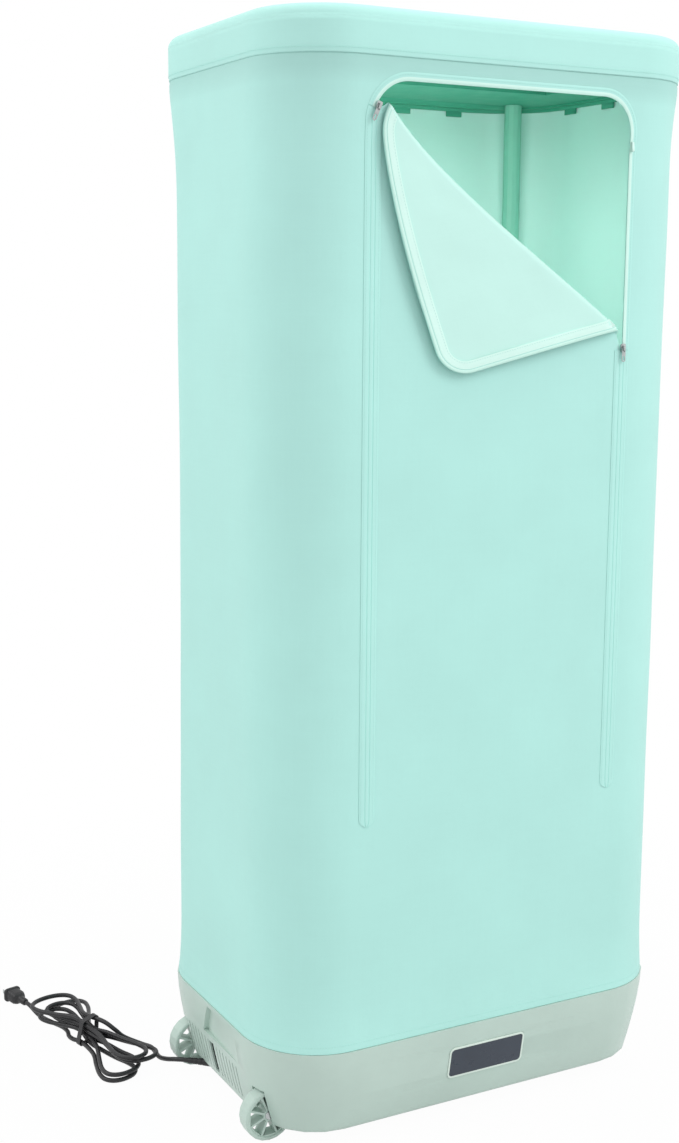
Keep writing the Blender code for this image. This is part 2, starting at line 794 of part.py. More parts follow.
def filter_place():
    """Matrix of the dust filter: X along the left wall to the back, Y up the wall, Z into the base."""
    middle = (SLOT_TOP + SLOT_BOTTOM) / 2
    tilt = atan2(hull_inset(SLOT_BOTTOM) - hull_inset(SLOT_TOP), SLOT_TOP - SLOT_BOTTOM)
    depth = HULL_WALL + FILTER_SPACE + FILTER_BULGE
    wall = -(HALF_WIDTH - hull_inset(middle) - depth)
    y = sum(filter_ends()) / 2
    axes = Matrix(((0, 0, 1, 0), (1, 0, 0, 0), (0, 1, 0, 0), (0, 0, 0, 1)))
    return Matrix.Translation((wall, y, middle)) @ Matrix.Rotation(-tilt, 4, "Y") @ axes


def filter_half():
    front, back = filter_ends()
    return (back - front) / 2, (SLOT_TOP - SLOT_BOTTOM) / 2 + FILTER_BORDER / 2


def filter_rails():
    """A rail at each end of the filter and a ledge under it, moulded on the left wall."""
    half_x, half_y = filter_half()
    depth = FILTER_THICKNESS + FILTER_SPACE
    rails = []
    for low_x, high_x, low_y, high_y in (
            (-half_x - FIT - FILTER_RAIL, -half_x - FIT, -half_y, half_y),
            (half_x + FIT, half_x + FIT + FILTER_RAIL, -half_y, half_y),
            (-half_x, half_x, -half_y - FIT - FILTER_RAIL / 2, -half_y - FIT)):
        rail = box("filter_rail", (low_x, low_y, -HULL_WALL - FILTER_RAIL), (high_x, high_y, depth))
        rails.append(moved(rail, filter_place()))
    return rails


def power_board_standoffs():
    pegs = []
    for side_x in (-1, 1):
        for side_y in (-1, 1):
            x = POWER_BOARD_X + side_x * (POWER_BOARD_LENGTH / 2 - FILTER_BORDER)
            y = POWER_BOARD_Y + side_y * (POWER_BOARD_WIDTH / 2 - FILTER_BORDER)
            pegs.append(cylinder("standoff", (x, y, 0), BOARD_STANDOFF_RADIUS, FLOOR_TOP - OVERRUN / 2,
                                 FLOOR_TOP + POWER_BOARD_STANDOFF, SMALL_SIDES))
    return pegs


def gland_place():
    """Matrix of the cord's gland: Z along the cord, out of the notch in the hull's left edge."""
    edge = -(HALF_WIDTH - hull_inset(GLAND_Z))
    return Matrix.Translation((edge, GLAND_Y, GLAND_Z)) @ Matrix.Rotation(GLAND_TURN, 4, "Z") @ Matrix.Rotation(
        pi / 2, 4, "Y")


def gland_block():
    block = box("gland_block", (-GLAND_BLOCK_HEIGHT, -GLAND_BLOCK_HALF, -GLAND_INSIDE - GLAND_COLLAR - HULL_WALL),
                (GLAND_BLOCK_HEIGHT, GLAND_BLOCK_HALF, GLAND_OUTSIDE))
    return moved(block, gland_place())


def gland_cutters():
    """The notch that the gland lies in, open below, with a wider slot for its collar."""
    notch = cylinder("notch", (0, 0, 0), GLAND_RADIUS + FIT, -GLAND_INSIDE - OVERRUN, GLAND_OUTSIDE + OVERRUN)
    mouth = box("notch_mouth", (0, -GLAND_RADIUS - FIT, -GLAND_INSIDE - OVERRUN),
                (GLAND_BLOCK_HEIGHT, GLAND_RADIUS + FIT, GLAND_OUTSIDE + OVERRUN))
    ring = cylinder("collar_slot", (0, 0, 0), GLAND_COLLAR_RADIUS + FIT, -GLAND_INSIDE - GLAND_COLLAR - FIT,
                    -GLAND_INSIDE + FIT)
    return [moved(cutter, gland_place()) for cutter in (notch, mouth, ring)]


def base_tub():
    hull = hull_solid()
    core = hull_core()
    keeps = [scoop_pad(), gland_block(), *display_standoffs(), *filter_rails(), *power_board_standoffs()]
    keeps.append(display_slab("display_pad", DISPLAY_PAD_BORDER, -(BEZEL_DEPTH + DISPLAY_PAD), HULL_WALL))
    for side in (-1, 1):
        keeps.append(well_block(side))
        keeps.append(along_y("axle_boss", side, axle_boss_low(), WHEEL_Y, AXLE_BOSS_RADIUS))
    for x, y in screw_boss_places():
        keeps.append(cylinder("screw_boss", (x, y, 0), SCREW_BOSS_RADIUS, 0, DECK_BOTTOM - GAP, SMALL_SIDES))
    core = worked(core, cuts=keeps)
    cuts = [core, scoop_cutter(), *slot_cutters(), *intake_cutters(), *gland_cutters()]
    for side in (-1, 1):
        cuts += well_cutters(side)
        cuts.append(along_y("axle_bore", side, axle_boss_low() + AXLE_HEAD, WHEEL_Y, AXLE_RADIUS + FIT, SMALL_SIDES))
        cuts.append(cylinder("stud_hole", (FOOT_X, side * FOOT_Y, 0), FOOT_STUD_RADIUS + FIT,
                             BASE_BOTTOM - OVERRUN, FLOOR_TOP + OVERRUN, SMALL_SIDES))
    cuts.append(display_slab("bezel_pocket", FIT, -BEZEL_DEPTH - GAP, OVERRUN))
    cuts.append(display_slab("window", -WINDOW_BORDER, -BEZEL_DEPTH - DISPLAY_PAD - OVERRUN, OVERRUN))
    return finish(worked(hull, cuts=cuts), shell_plastic())


# Wheels, axles and feet

def wheel_window(first):
    """A window between two spokes, its outer corners on the corners of an octagon."""
    points = []
    for radius, side in ((WHEEL_RIM_INSIDE, 1), (WHEEL_RIM_INSIDE, -1), (WHEEL_HUB_RADIUS, -1), (WHEEL_HUB_RADIUS, 1)):
        spread = WHEEL_SPOKE / 2 / radius
        angle = first + (spread if side > 0 else 2 * pi / WHEEL_SPOKES - spread)
        points.append((radius * cos(angle), radius * sin(angle)))
    return plate("wheel_window", points, WHEEL_WIDTH + OVERRUN)


def wheel_profile():
    half = WHEEL_WIDTH / 2
    web = half - WHEEL_WEB_SINK
    bore = AXLE_RADIUS + FIT
    groove = WHEEL_RIM_INSIDE + WHEEL_EDGE
    hub_top = half - AXLE_HEAD - GAP
    return [(WHEEL_RADIUS - WHEEL_EDGE, half), (WHEEL_RADIUS, half - WHEEL_EDGE), (WHEEL_RADIUS, WHEEL_EDGE - half),
            (WHEEL_RADIUS - WHEEL_EDGE, -half), (groove, -half), (groove, -web), (WHEEL_HUB_RADIUS, -web),
            (WHEEL_HUB_RADIUS, -half), (bore, -half), (bore, hub_top), (WHEEL_HUB_RADIUS, hub_top),
            (WHEEL_HUB_RADIUS, web), (groove, web), (groove, half)]


def wheel(name, side):
    disc = turned(name, wheel_profile(), WHEEL_SIDES)
    windows = [wheel_window((k + 1 / 2) * 2 * pi / WHEEL_SPOKES) for k in range(WHEEL_SPOKES)]
    disc = worked(disc, cuts=windows)
    centre = (WHEEL_X, side * WHEEL_Y, WHEEL_RADIUS)
    moved(disc, Matrix.Translation(centre) @ Matrix.Rotation(-side * pi / 2, 4, "X"))
    return turn_about(centre, finish(disc, shell_plastic()))


def axle(name, side):
    """A pin in the hub, with a flat head outside it and its end in the hull's boss."""
    hub_face = WHEEL_Y + WHEEL_WIDTH / 2 - AXLE_HEAD
    pin_end = axle_boss_low() + AXLE_HEAD + GAP
    low, high = pin_end - WHEEL_Y, hub_face - WHEEL_Y
    profile = [(0, high + AXLE_HEAD), (AXLE_HEAD_RADIUS - AXLE_HEAD / 2, high + AXLE_HEAD),
               (AXLE_HEAD_RADIUS, high + AXLE_HEAD / 2), (AXLE_HEAD_RADIUS, high), (AXLE_RADIUS, high),
               (AXLE_RADIUS, low), (0, low)]
    place = Matrix.Translation((WHEEL_X, side * WHEEL_Y, WHEEL_RADIUS)) @ Matrix.Rotation(-side * pi / 2, 4, "X")
    return finish(turned(name, profile, SMALL_SIDES, place), steel())


def foot(name, side):
    top = BASE_BOTTOM - GAP
    profile = [(0, FLOOR_TOP + FOOT_STUD), (FOOT_STUD_RADIUS, FLOOR_TOP + FOOT_STUD), (FOOT_STUD_RADIUS, top),
               (FOOT_RADIUS, top), (FOOT_RADIUS, FOOT_EDGE), (FOOT_RADIUS - FOOT_EDGE, 0), (0, 0)]
    place = Matrix.Translation((FOOT_X, side * FOOT_Y, 0))
    return finish(turned(name, profile, SMALL_SIDES, place), material("foot_rubber", DARK_GREY, 0.7))


# The deck and the warm air outlet

GRILLE_STEP = 0.0005
SOCKET_RADIUS = POST_RADIUS + SOCKET_WALL
HEATER_LEDGE_HEIGHT = 0.002
HEATER_BAR_SINK = 0.001
BLADE_CAMBER = 0.0022


def post_places():
    return [(side_x * POST_X, side_y * POST_Y) for side_y in (-1, 1) for side_x in (-1, 1)]


def base_deck():
    """The plate that closes the base, with a socket for each post and the outlet's opening."""
    inset = hull_inset(DECK_BOTTOM) + HULL_WALL + FIT
    outline = rounded_rectangle(HALF_WIDTH - inset, HALF_DEPTH - inset, CORNER_RADIUS - inset)
    deck = moved(plate("base_deck", outline, DECK_THICKNESS), Matrix.Translation((0, 0, DECK_TOP - DECK_THICKNESS / 2)))
    sockets = []
    bores = [cylinder("outlet", (0, 0, 0), OUTLET_RADIUS + FIT, DECK_BOTTOM - OVERRUN, DECK_TOP + OVERRUN,
                      OUTLET_SIDES)]
    for x, y in post_places():
        sockets.append(cylinder("socket", (x, y, 0), SOCKET_RADIUS, DECK_BOTTOM + GRILLE_STEP,
                                DECK_TOP + SOCKET_HEIGHT, SMALL_SIDES))
        bores.append(cylinder("bore", (x, y, 0), POST_RADIUS + GAP, DECK_TOP, DECK_TOP + SOCKET_HEIGHT + OVERRUN,
                              SMALL_SIDES))
    pad = hull_inset(DECK_BOTTOM) + SCOOP_DEPTH + HULL_WALL + 3 * FIT
    notch = box("scoop_notch", (-HALF_WIDTH, SCOOP_FRONT_Y - HULL_WALL - FIT, DECK_BOTTOM - OVERRUN),
                (pad - HALF_WIDTH, SCOOP_BACK_Y + SCOOP_SLANT / 2 + HULL_WALL + FIT, DECK_TOP + OVERRUN))
    return finish(worked(deck, cuts=[*bores, notch], joins=sockets), shell_plastic())


def square_ring(name, radius, width, low, high, sides=OUTLET_SIDES):
    """A ring of square section, measured to its outer side."""
    profile = [(radius, high), (radius, low), (radius - width, low), (radius - width, high)]
    return turned(name, profile, sides)


def outlet_grille():
    top = DECK_TOP + GAP + GRILLE_LIP_HEIGHT
    low = top - GRILLE_HEIGHT
    lip = OUTLET_RADIUS + GRILLE_LIP
    seat = DECK_TOP + GAP
    frame = turned("outlet_grille", [(lip, top), (lip, seat), (OUTLET_RADIUS, seat), (OUTLET_RADIUS, low),
                                     (OUTLET_RADIUS - GRILLE_BAR, low), (OUTLET_RADIUS - GRILLE_BAR, top)],
                   OUTLET_SIDES)
    joins = [cylinder("grille_hub", (0, 0, 0), GRILLE_HUB_RADIUS, low + 2 * GRILLE_STEP, top)]
    for k in range(GRILLE_SPOKES // 2):
        spoke = box("grille_spoke", (GRILLE_BAR - OUTLET_RADIUS - GRILLE_STEP, -GRILLE_BAR / 2, low + GRILLE_STEP),
                    (OUTLET_RADIUS - GRILLE_BAR + GRILLE_STEP, GRILLE_BAR / 2, top - GRILLE_STEP))
        joins.append(moved(spoke, Matrix.Rotation(k * 2 * pi / GRILLE_SPOKES, 4, "Z")))
    for k in range(GRILLE_RINGS):
        radius = GRILLE_HUB_RADIUS + (OUTLET_RADIUS - GRILLE_HUB_RADIUS) * (k + 1) / (GRILLE_RINGS + 1)
        joins.append(square_ring("grille_ring", radius, GRILLE_BAR, low + 2 * GRILLE_STEP, top - 2 * GRILLE_STEP,
                                 WHEEL_SIDES))
    return finish(worked(frame, joins=joins), shell_plastic())


# The heater under the outlet

HEATER_FRAME_TOP = DECK_BOTTOM - GAP
HEATER_FRAME_BOTTOM = HEATER_FRAME_TOP - HEATER_FRAME_HEIGHT
HEATER_INSIDE = HEATER_FRAME_HALF - HEATER_FRAME_WALL


def square_box(name, half, low, high):
    return box(name, (-half, -half, low), (half, half, high))


def heater_frame():
    frame = square_box("heater_frame", HEATER_FRAME_HALF, HEATER_FRAME_BOTTOM, HEATER_FRAME_TOP)
    room = square_box("heater_room", HEATER_INSIDE, HEATER_FRAME_BOTTOM + HEATER_LEDGE_HEIGHT,
                      HEATER_FRAME_TOP + OVERRUN)
    throat = square_box("heater_throat", HEATER_INSIDE - HEATER_LEDGE, HEATER_FRAME_BOTTOM - OVERRUN,
                        HEATER_FRAME_TOP)
    return finish(worked(frame, cuts=[room, throat]), dark_plastic())


def ptc_heater():
    """Thin fins across three ceramic heating bars, lying on the frame's ledge."""
    half = HEATER_INSIDE - FIT
    low = HEATER_FRAME_BOTTOM + HEATER_LEDGE_HEIGHT + GAP
    high = low + HEATER_HEIGHT
    pitch = (2 * half - HEATER_FIN) / (HEATER_FINS - 1)
    fins = [box("ptc_heater", (k * pitch - half, -half, low), (k * pitch - half + HEATER_FIN, half, high))
            for k in range(HEATER_FINS)]
    bars = []
    for k in range(HEATER_BARS):
        y = (k - (HEATER_BARS - 1) / 2) * 2 * half / HEATER_BARS
        bars.append(box("heater_bar", (HEATER_FIN / 2 - half, y - HEATER_BAR / 2, low + HEATER_BAR_SINK),
                        (half - HEATER_FIN / 2, y + HEATER_BAR / 2, high - HEATER_BAR_SINK)))
    return finish(worked(fins[0], joins=bars + fins[1:]), material("heater_ceramic", CERAMIC_GREY, 0.6))


# The fan, its motor and its housing

MOTOR_BOTTOM = FAN_HOUSING_BOTTOM + FAN_STRUT_HEIGHT + GAP
MOTOR_TOP = MOTOR_BOTTOM + MOTOR_HEIGHT
FAN_HUB_BOTTOM = MOTOR_TOP + FAN_HUB_GAP
FAN_HUB_TOP = FAN_HUB_BOTTOM + FAN_HUB_HEIGHT


def fan_housing():
    """A ring round the impeller on three legs, with a strut from each leg to the motor's seat."""
    inside = FAN_RADIUS + FAN_TIP_CLEARANCE
    outside = inside + FAN_HOUSING_WALL
    top = FAN_HOUSING_BOTTOM + FAN_HOUSING_HEIGHT
    lip = outside + FAN_HOUSING_WALL
    ring = turned("fan_housing", [(lip, top), (lip, top - FAN_HOUSING_WALL), (outside, top - FAN_HOUSING_WALL),
                                  (outside, FAN_HOUSING_BOTTOM), (inside, FAN_HOUSING_BOTTOM), (inside, top)],
                  OUTLET_SIDES)
    joins = [cylinder("motor_seat", (0, 0, 0), MOTOR_RADIUS + FAN_HOUSING_WALL, FAN_HOUSING_BOTTOM + GRILLE_STEP,
                      FAN_HOUSING_BOTTOM + FAN_STRUT_HEIGHT)]
    for k in range(FAN_STRUTS):
        turn = Matrix.Rotation(pi / 2 + k * 2 * pi / FAN_STRUTS, 4, "Z")
        strut = box("strut", (MOTOR_RADIUS, -FAN_STRUT_WIDTH / 2, FAN_HOUSING_BOTTOM + 2 * GRILLE_STEP),
                    (inside + FAN_HOUSING_WALL / 2, FAN_STRUT_WIDTH / 2, FAN_HOUSING_BOTTOM + FAN_STRUT_HEIGHT
                     - GRILLE_STEP))
        leg = box("leg", (inside + FAN_HOUSING_WALL / 2, -FAN_LEG_WIDTH / 2, FLOOR_TOP + GAP),
                  (outside + FAN_LEG_WIDTH, FAN_LEG_WIDTH / 2, FAN_HOUSING_BOTTOM + FAN_LEG_WIDTH))
        joins += [moved(strut, turn), moved(leg, turn)]
    return finish(worked(ring, joins=joins), dark_plastic())


def fan_motor():
    shaft_top = MOTOR_TOP + SHAFT_LENGTH
    profile = [(0, shaft_top), (SHAFT_RADIUS, shaft_top), (SHAFT_RADIUS, MOTOR_TOP),
               (MOTOR_RADIUS - MOTOR_EDGE, MOTOR_TOP), (MOTOR_RADIUS, MOTOR_TOP - MOTOR_EDGE),
               (MOTOR_RADIUS, MOTOR_BOTTOM), (0, MOTOR_BOTTOM)]
    return finish(turned("fan_motor", profile), steel())


def blade_section(share):
    """One section of a blade: a thin cambered lens on a cylinder round the shaft, set at its pitch."""
    radius = FAN_HUB_RADIUS - BLADE_ROOT_SINK + share * (FAN_RADIUS - FAN_HUB_RADIUS + BLADE_ROOT_SINK)
    chord = BLADE_ROOT_CHORD + share * (BLADE_TIP_CHORD - BLADE_ROOT_CHORD)
    pitch = BLADE_ROOT_PITCH + share * (BLADE_TIP_PITCH - BLADE_ROOT_PITCH)
    ring = []
    for along_share, side in ((-1, 0), (-1 / 2, -1), (1 / 2, -1), (1, 0), (1 / 2, 1), (-1 / 2, 1)):
        along = along_share * chord / 2
        across = BLADE_CAMBER * (1 - along_share ** 2) + side * BLADE_THICKNESS / 2
        angle = BLADE_SWEEP * share + (along * cos(pitch) - across * sin(pitch)) / radius
        middle = (FAN_HUB_BOTTOM + FAN_HUB_TOP) / 2
        ring.append((radius * cos(angle), radius * sin(angle), middle + along * sin(pitch) + across * cos(pitch)))
    return ring


def fan_impeller():
    bore_top = MOTOR_TOP + SHAFT_LENGTH + FIT
    bore = SHAFT_RADIUS + FIT
    hub = turned("fan_impeller", [(0, FAN_HUB_TOP), (FAN_HUB_RADIUS - MOTOR_EDGE, FAN_HUB_TOP),
                                  (FAN_HUB_RADIUS, FAN_HUB_TOP - MOTOR_EDGE), (FAN_HUB_RADIUS, FAN_HUB_BOTTOM),
                                  (bore, FAN_HUB_BOTTOM), (bore, bore_top), (0, bore_top)])
    blades = []
    for k in range(FAN_BLADES):
        blade = loft("blade", [blade_section(step / BLADE_SECTIONS) for step in range(BLADE_SECTIONS + 1)])
        blades.append(moved(blade, Matrix.Rotation(k * 2 * pi / FAN_BLADES, 4, "Z")))
    fan = finish(worked(hub, joins=blades), dark_plastic())
    return turn_about((0, 0, (FAN_HUB_BOTTOM + FAN_HUB_TOP) / 2), fan)


# The control panel, the boards, the dust filter and the cord's gland

def display_bezel():
    ring = plate("display_bezel", panel_outline(0), BEZEL_DEPTH + BEZEL_PROUD, [panel_outline(-BEZEL_WIDTH)])
    place = display_place() @ Matrix.Translation((0, 0, (BEZEL_PROUD - BEZEL_DEPTH) / 2))
    return finish(moved(ring, place), material("bezel_plastic", BEZEL_WHITE, 0.3))


def display_glass():
    glass = display_slab("display_glass", -BEZEL_WIDTH - GAP, -BEZEL_DEPTH, GLASS_THICKNESS - BEZEL_DEPTH)
    return finish(glass, material("display_glass", GLASS_SLATE, 0.08))


def control_board():
    """The board behind the panel, with the display module in the wall's window and a chip at the back."""
    face = -(BEZEL_DEPTH + DISPLAY_PAD + BOARD_STANDOFF + GAP)
    half_x = DISPLAY_WIDTH / 2
    half_y = DISPLAY_HEIGHT / 2
    reach = WINDOW_BORDER + 2 * FIT
    board = box("control_board", (-half_x, -half_y, face - BOARD_THICKNESS), (half_x, half_y, face))
    module = box("display_module", (reach - half_x, reach - half_y, face - BOARD_THICKNESS / 2),
                 (half_x - reach, half_y - reach, -BEZEL_DEPTH - 2 * FIT))
    chip = box("chip", (-half_y, -half_y / 2, face - BOARD_THICKNESS - CHIP),
               (half_y, half_y / 2, face - BOARD_THICKNESS / 2))
    board = worked(board, joins=[module, chip])
    return finish(moved(board, display_place()), material("circuit_board", BOARD_GREEN, 0.5))


def power_board():
    low = FLOOR_TOP + POWER_BOARD_STANDOFF + GAP
    seat = low + BOARD_THICKNESS / 2
    x, y = POWER_BOARD_X, POWER_BOARD_Y
    board = box("power_board", (x - POWER_BOARD_LENGTH / 2, y - POWER_BOARD_WIDTH / 2, low),
                (x + POWER_BOARD_LENGTH / 2, y + POWER_BOARD_WIDTH / 2, low + BOARD_THICKNESS))
    relays = [box("relay", (x + side * RELAY_LENGTH - RELAY_LENGTH / 2, y, seat),
                  (x + side * RELAY_LENGTH + RELAY_LENGTH / 2, y + RELAY_WIDTH, seat + RELAY_HEIGHT))
              for side in (-1, 1)]
    cans = [cylinder("capacitor", (x + side * RELAY_LENGTH, y - RELAY_WIDTH, 0), CAPACITOR_RADIUS, seat,
                     seat + CAPACITOR_HEIGHT, SMALL_SIDES) for side in (-1, 1)]
    return finish(worked(board, joins=relays + cans), material("circuit_board", BOARD_GREEN, 0.5))


def intake_filter():
    half_x, half_y = filter_half()
    outline = [(-half_x, -half_y), (half_x, -half_y), (half_x, half_y), (-half_x, half_y)]
    pitch = (2 * (half_x - FILTER_BORDER) + FILTER_BAR) / (FILTER_BARS + 1)
    windows = []
    for column in range(FILTER_BARS + 1):
        left = FILTER_BORDER - half_x + column * pitch
        right = left + pitch - FILTER_BAR
        for low, high in ((FILTER_BORDER - half_y, -FILTER_BAR / 2), (FILTER_BAR / 2, half_y - FILTER_BORDER)):
            windows.append([(left, low), (right, low), (right, high), (left, high)])
    frame = plate("intake_filter", outline, FILTER_THICKNESS, windows)
    place = filter_place() @ Matrix.Translation((0, 0, FILTER_THICKNESS / 2))
    return finish(moved(frame, place), dark_plastic())


def cord_gland():
    """The tapered, ribbed boot that the cord leaves the base through, held by a collar."""
    profile = [(0, GLAND_OUTSIDE), (GLAND_TIP_RADIUS, GLAND_OUTSIDE)]
    pitch = GLAND_OUTSIDE / (GLAND_RIBS + 1)
    for k in range(GLAND_RIBS):
        height = GLAND_OUTSIDE - (k + 1) * pitch
        radius = GLAND_RADIUS + (GLAND_TIP_RADIUS - GLAND_RADIUS) * height / GLAND_OUTSIDE
        top, low = height + GLAND_RIB / 2, height - GLAND_RIB / 2
        profile += [(radius, top), (radius - GLAND_RIB_DEPTH, top), (radius - GLAND_RIB_DEPTH, low), (radius, low)]
    collar = -GLAND_INSIDE - GLAND_COLLAR
    profile += [(GLAND_RADIUS, 0), (GLAND_RADIUS, -GLAND_INSIDE), (GLAND_COLLAR_RADIUS, -GLAND_INSIDE),
                (GLAND_COLLAR_RADIUS, collar), (0, collar)]
    return finish(turned("cord_gland", profile, SMALL_SIDES, gland_place()), cord_rubber())


# The posts, each of three plug-in tubes

CUP_FLOOR = 0.003
POST_BOTTOM = DECK_TOP + GAP
POST_TOP = CEILING + POST_CUP - CUP_FLOOR - GAP
POST_NAMES = ("front_left", "front_right", "rear_left", "rear_right")


def post_section(name, x, y, level):
    """One tube of a post; all but the top one end in a spigot that the next one slips over."""
    pitch = (POST_TOP - POST_BOTTOM) / POST_SECTIONS
    low = POST_BOTTOM + level * pitch
    high = low + pitch - GAP
    bore = POST_RADIUS - POST_WALL
    profile = [(POST_RADIUS, high), (POST_RADIUS, low), (bore, low)]
    if level == POST_SECTIONS - 1:
        profile.append((bore, high))
    else:
        spigot = bore - GAP
        inside = spigot - POST_WALL
        profile += [(bore, high - POST_WALL), (inside, high - POST_WALL), (inside, high + SPIGOT),
                    (spigot, high + SPIGOT), (spigot, high)]
    return finish(turned(name, profile, SMALL_SIDES, Matrix.Translation((x, y, 0))), post_plastic())


def posts():
    for corner, (x, y) in zip(POST_NAMES, post_places()):
        for level in range(POST_SECTIONS):
            post_section(f"post_{corner}_{level + 1}", x, y, level)


# The lid, the ceiling panel and the hanging rail

LID_INSIDE = FABRIC + GAP + LID_SHELL_WALL + FIT
CHANNEL_WALL = 0.0025


def lid_outline(inset):
    return rounded_rectangle(HALF_WIDTH - inset, LID_HALF_DEPTH - inset, CORNER_RADIUS - inset)


def lid_skin(name, inset, thickness):
    """The lid's skin: an upright band, an edge rolled over and a flat top, open below."""
    shape = bmesh.new()
    rows = [(inset, CREASE + GAP)]
    for step in range(LID_STEPS + 1):
        angle = step / LID_STEPS * pi / 2
        rows.append((inset + LID_ROLL * (1 - cos(angle)), HEIGHT - inset - LID_ROLL * (1 - sin(angle))))
    rings = [[shape.verts.new((x, y, z)) for x, y in lid_outline(margin)] for margin, z in rows]
    for lower, upper in zip(rings, rings[1:]):
        for i in range(len(lower)):
            j = (i + 1) % len(lower)
            shape.faces.new((lower[i], lower[j], upper[j], upper[i]))
    shape.faces.new(rings[-1])
    item = from_bmesh(name, shape)
    solid = item.modifiers.new("thickness", "SOLIDIFY")
    solid.thickness = thickness
    solid.offset = -1
    solid.use_even_offset = True
    return settle(item)


def lid_shell():
    return finish(lid_skin("lid_shell", FABRIC + GAP, LID_SHELL_WALL), ceiling_plastic())


def level_plate(name, outline, low, high, holes=()):
    return moved(plate(name, outline, high - low, holes), Matrix.Translation((0, 0, (low + high) / 2)))


def ceiling_tabs():
    """Short tabs under the rim, at an even pitch along each straight side."""
    tabs = []
    low, high = CEILING - CEILING_STEP - CEILING_RIM - TAB_DROP, CEILING - CEILING_STEP - CEILING_RIM / 2
    for half_run, reach, turn in ((HALF_FLAT, LID_HALF_DEPTH - CEILING_INSET, 0),
                                  (LID_HALF_DEPTH - CORNER_RADIUS, HALF_WIDTH - CEILING_INSET, 1)):
        count = int(2 * half_run / TAB_PITCH)
        for side in (0, 2):
            for k in range(count + 1):
                along = (k - count / 2) * TAB_PITCH
                tab = box("tab", (along - TAB_LENGTH / 2, -reach + GAP, low),
                          (along + TAB_LENGTH / 2, TAB_THICKNESS - reach, high))
                tabs.append(moved(tab, Matrix.Rotation((turn + side) * pi / 2, 4, "Z")))
    return tabs


def ceiling_panel():
    """The ceiling with a lower ledge and rim, tabs, cups for the posts and the rail's channel."""
    ledge = CEILING - CEILING_STEP
    top = CEILING + CEILING_THICKNESS
    panel = level_plate("ceiling_panel", lid_outline(LID_INSIDE), ledge, top)
    rim = level_plate("rim", lid_outline(CEILING_INSET), ledge - CEILING_RIM, ledge + CEILING_STEP / 2,
                      [lid_outline(CEILING_INSET + CEILING_RIM_WALL)])
    field = level_plate("field", lid_outline(CEILING_INSET + CEILING_STEP_WIDTH), ledge - OVERRUN, CEILING)
    reach = RAIL_HALF_LENGTH + RAIL_SOCKET + CHANNEL_WALL
    joins = [box("channel", (-reach, -RAIL_CHANNEL_HALF - CHANNEL_WALL, CEILING + GAP),
                 (reach, RAIL_CHANNEL_HALF + CHANNEL_WALL, RAIL_CHANNEL_TOP + CHANNEL_WALL))]
    cuts = [box("channel_room", (-RAIL_HALF_LENGTH, -RAIL_CHANNEL_HALF, CEILING - OVERRUN),
                (RAIL_HALF_LENGTH, RAIL_CHANNEL_HALF, RAIL_CHANNEL_TOP)),
            cylinder("rail_bore", (0, 0, RAIL_Z), RAIL_RADIUS + GAP, -RAIL_HALF_LENGTH - RAIL_SOCKET,
                     RAIL_HALF_LENGTH + RAIL_SOCKET, SMALL_SIDES, axis="X")]
    for x, y in post_places():
        joins.append(cylinder("cup", (x, y, 0), SOCKET_RADIUS, CEILING + GAP, CEILING + POST_CUP, SMALL_SIDES))
        cuts.append(cylinder("bore", (x, y, 0), POST_RADIUS + GAP, CEILING - OVERRUN,
                             CEILING + POST_CUP - CUP_FLOOR, SMALL_SIDES))
    panel = worked(panel, cuts=[field])
    return finish(worked(panel, cuts=cuts, joins=[rim, *ceiling_tabs(), *joins]), ceiling_plastic())


def hanging_rail():
    half = RAIL_HALF_LENGTH + RAIL_SOCKET - GAP
    bore = RAIL_RADIUS - RAIL_WALL
    profile = [(RAIL_RADIUS, half), (RAIL_RADIUS, -half), (bore, -half), (bore, half)]
    place = Matrix.Translation((0, 0, RAIL_Z)) @ Matrix.Rotation(pi / 2, 4, "Y")
    return finish(turned("hanging_rail", profile, SMALL_SIDES, place), steel())


# The fabric cover

COVER_BOTTOM = SEAM + GAP
COVER_TOP = CREASE - GAP


def cover_insets(z):
    """How far the cover stands inside the base's outline at a height, on its sides and its front."""
    foot = (1 - max(0, min(1, (z - SEAM) / FOOT_FLARE))) ** 2
    head = (1 - max(0, min(1, (CREASE - z) / TOP_FLARE))) ** 2
    inset = COVER_INSET - (COVER_INSET - SEAM_INSET) * foot
    return inset - COVER_INSET * head, inset - (COVER_INSET + LID_HALF_DEPTH - HALF_DEPTH) * head


def cover_front_y(z):
    return HALF_DEPTH - cover_insets(z)[1]


def cover_levels():
    """Heights of the rows that follow the flares at the cover's foot and head."""
    foot = [COVER_BOTTOM + FOOT_FLARE * (k / FLARE_STEPS) for k in range(FLARE_STEPS + 1)]
    head = [COVER_TOP - TOP_FLARE * (k / FLARE_STEPS) for k in range(FLARE_STEPS + 1)]
    return foot + [(foot[-1] + head[-1]) / 2] + head[::-1]


def cover_side_row(side, z):
    """Points from the front round one side of the cover to its back, anticlockwise from above."""
    inset_x, inset_y = cover_insets(z)
    half_x, half_y = HALF_WIDTH - inset_x, HALF_DEPTH - inset_y
    radius = half_x - HALF_FLAT
    row = [(HALF_FLAT + GAP / 2, -half_y)]
    for start, centre in ((-pi / 2, radius - half_y), (0, half_y - radius)):
        first = 1 if start < 0 else 0
        last = CORNER_STEPS + 1 if start < 0 else CORNER_STEPS
        for step in range(first, last):
            angle = start + step / CORNER_STEPS * pi / 2
            row.append((HALF_FLAT + radius * cos(angle), centre + radius * sin(angle)))
    row.append((HALF_FLAT + GAP / 2, half_y))
    return [(side * x, side * y, z) for x, y in row]


def cover_side(name, side):
    rows = [cover_side_row(side, z) for z in cover_levels()]
    return finish(solid_sheet(name, rows, FABRIC), cover_fabric())


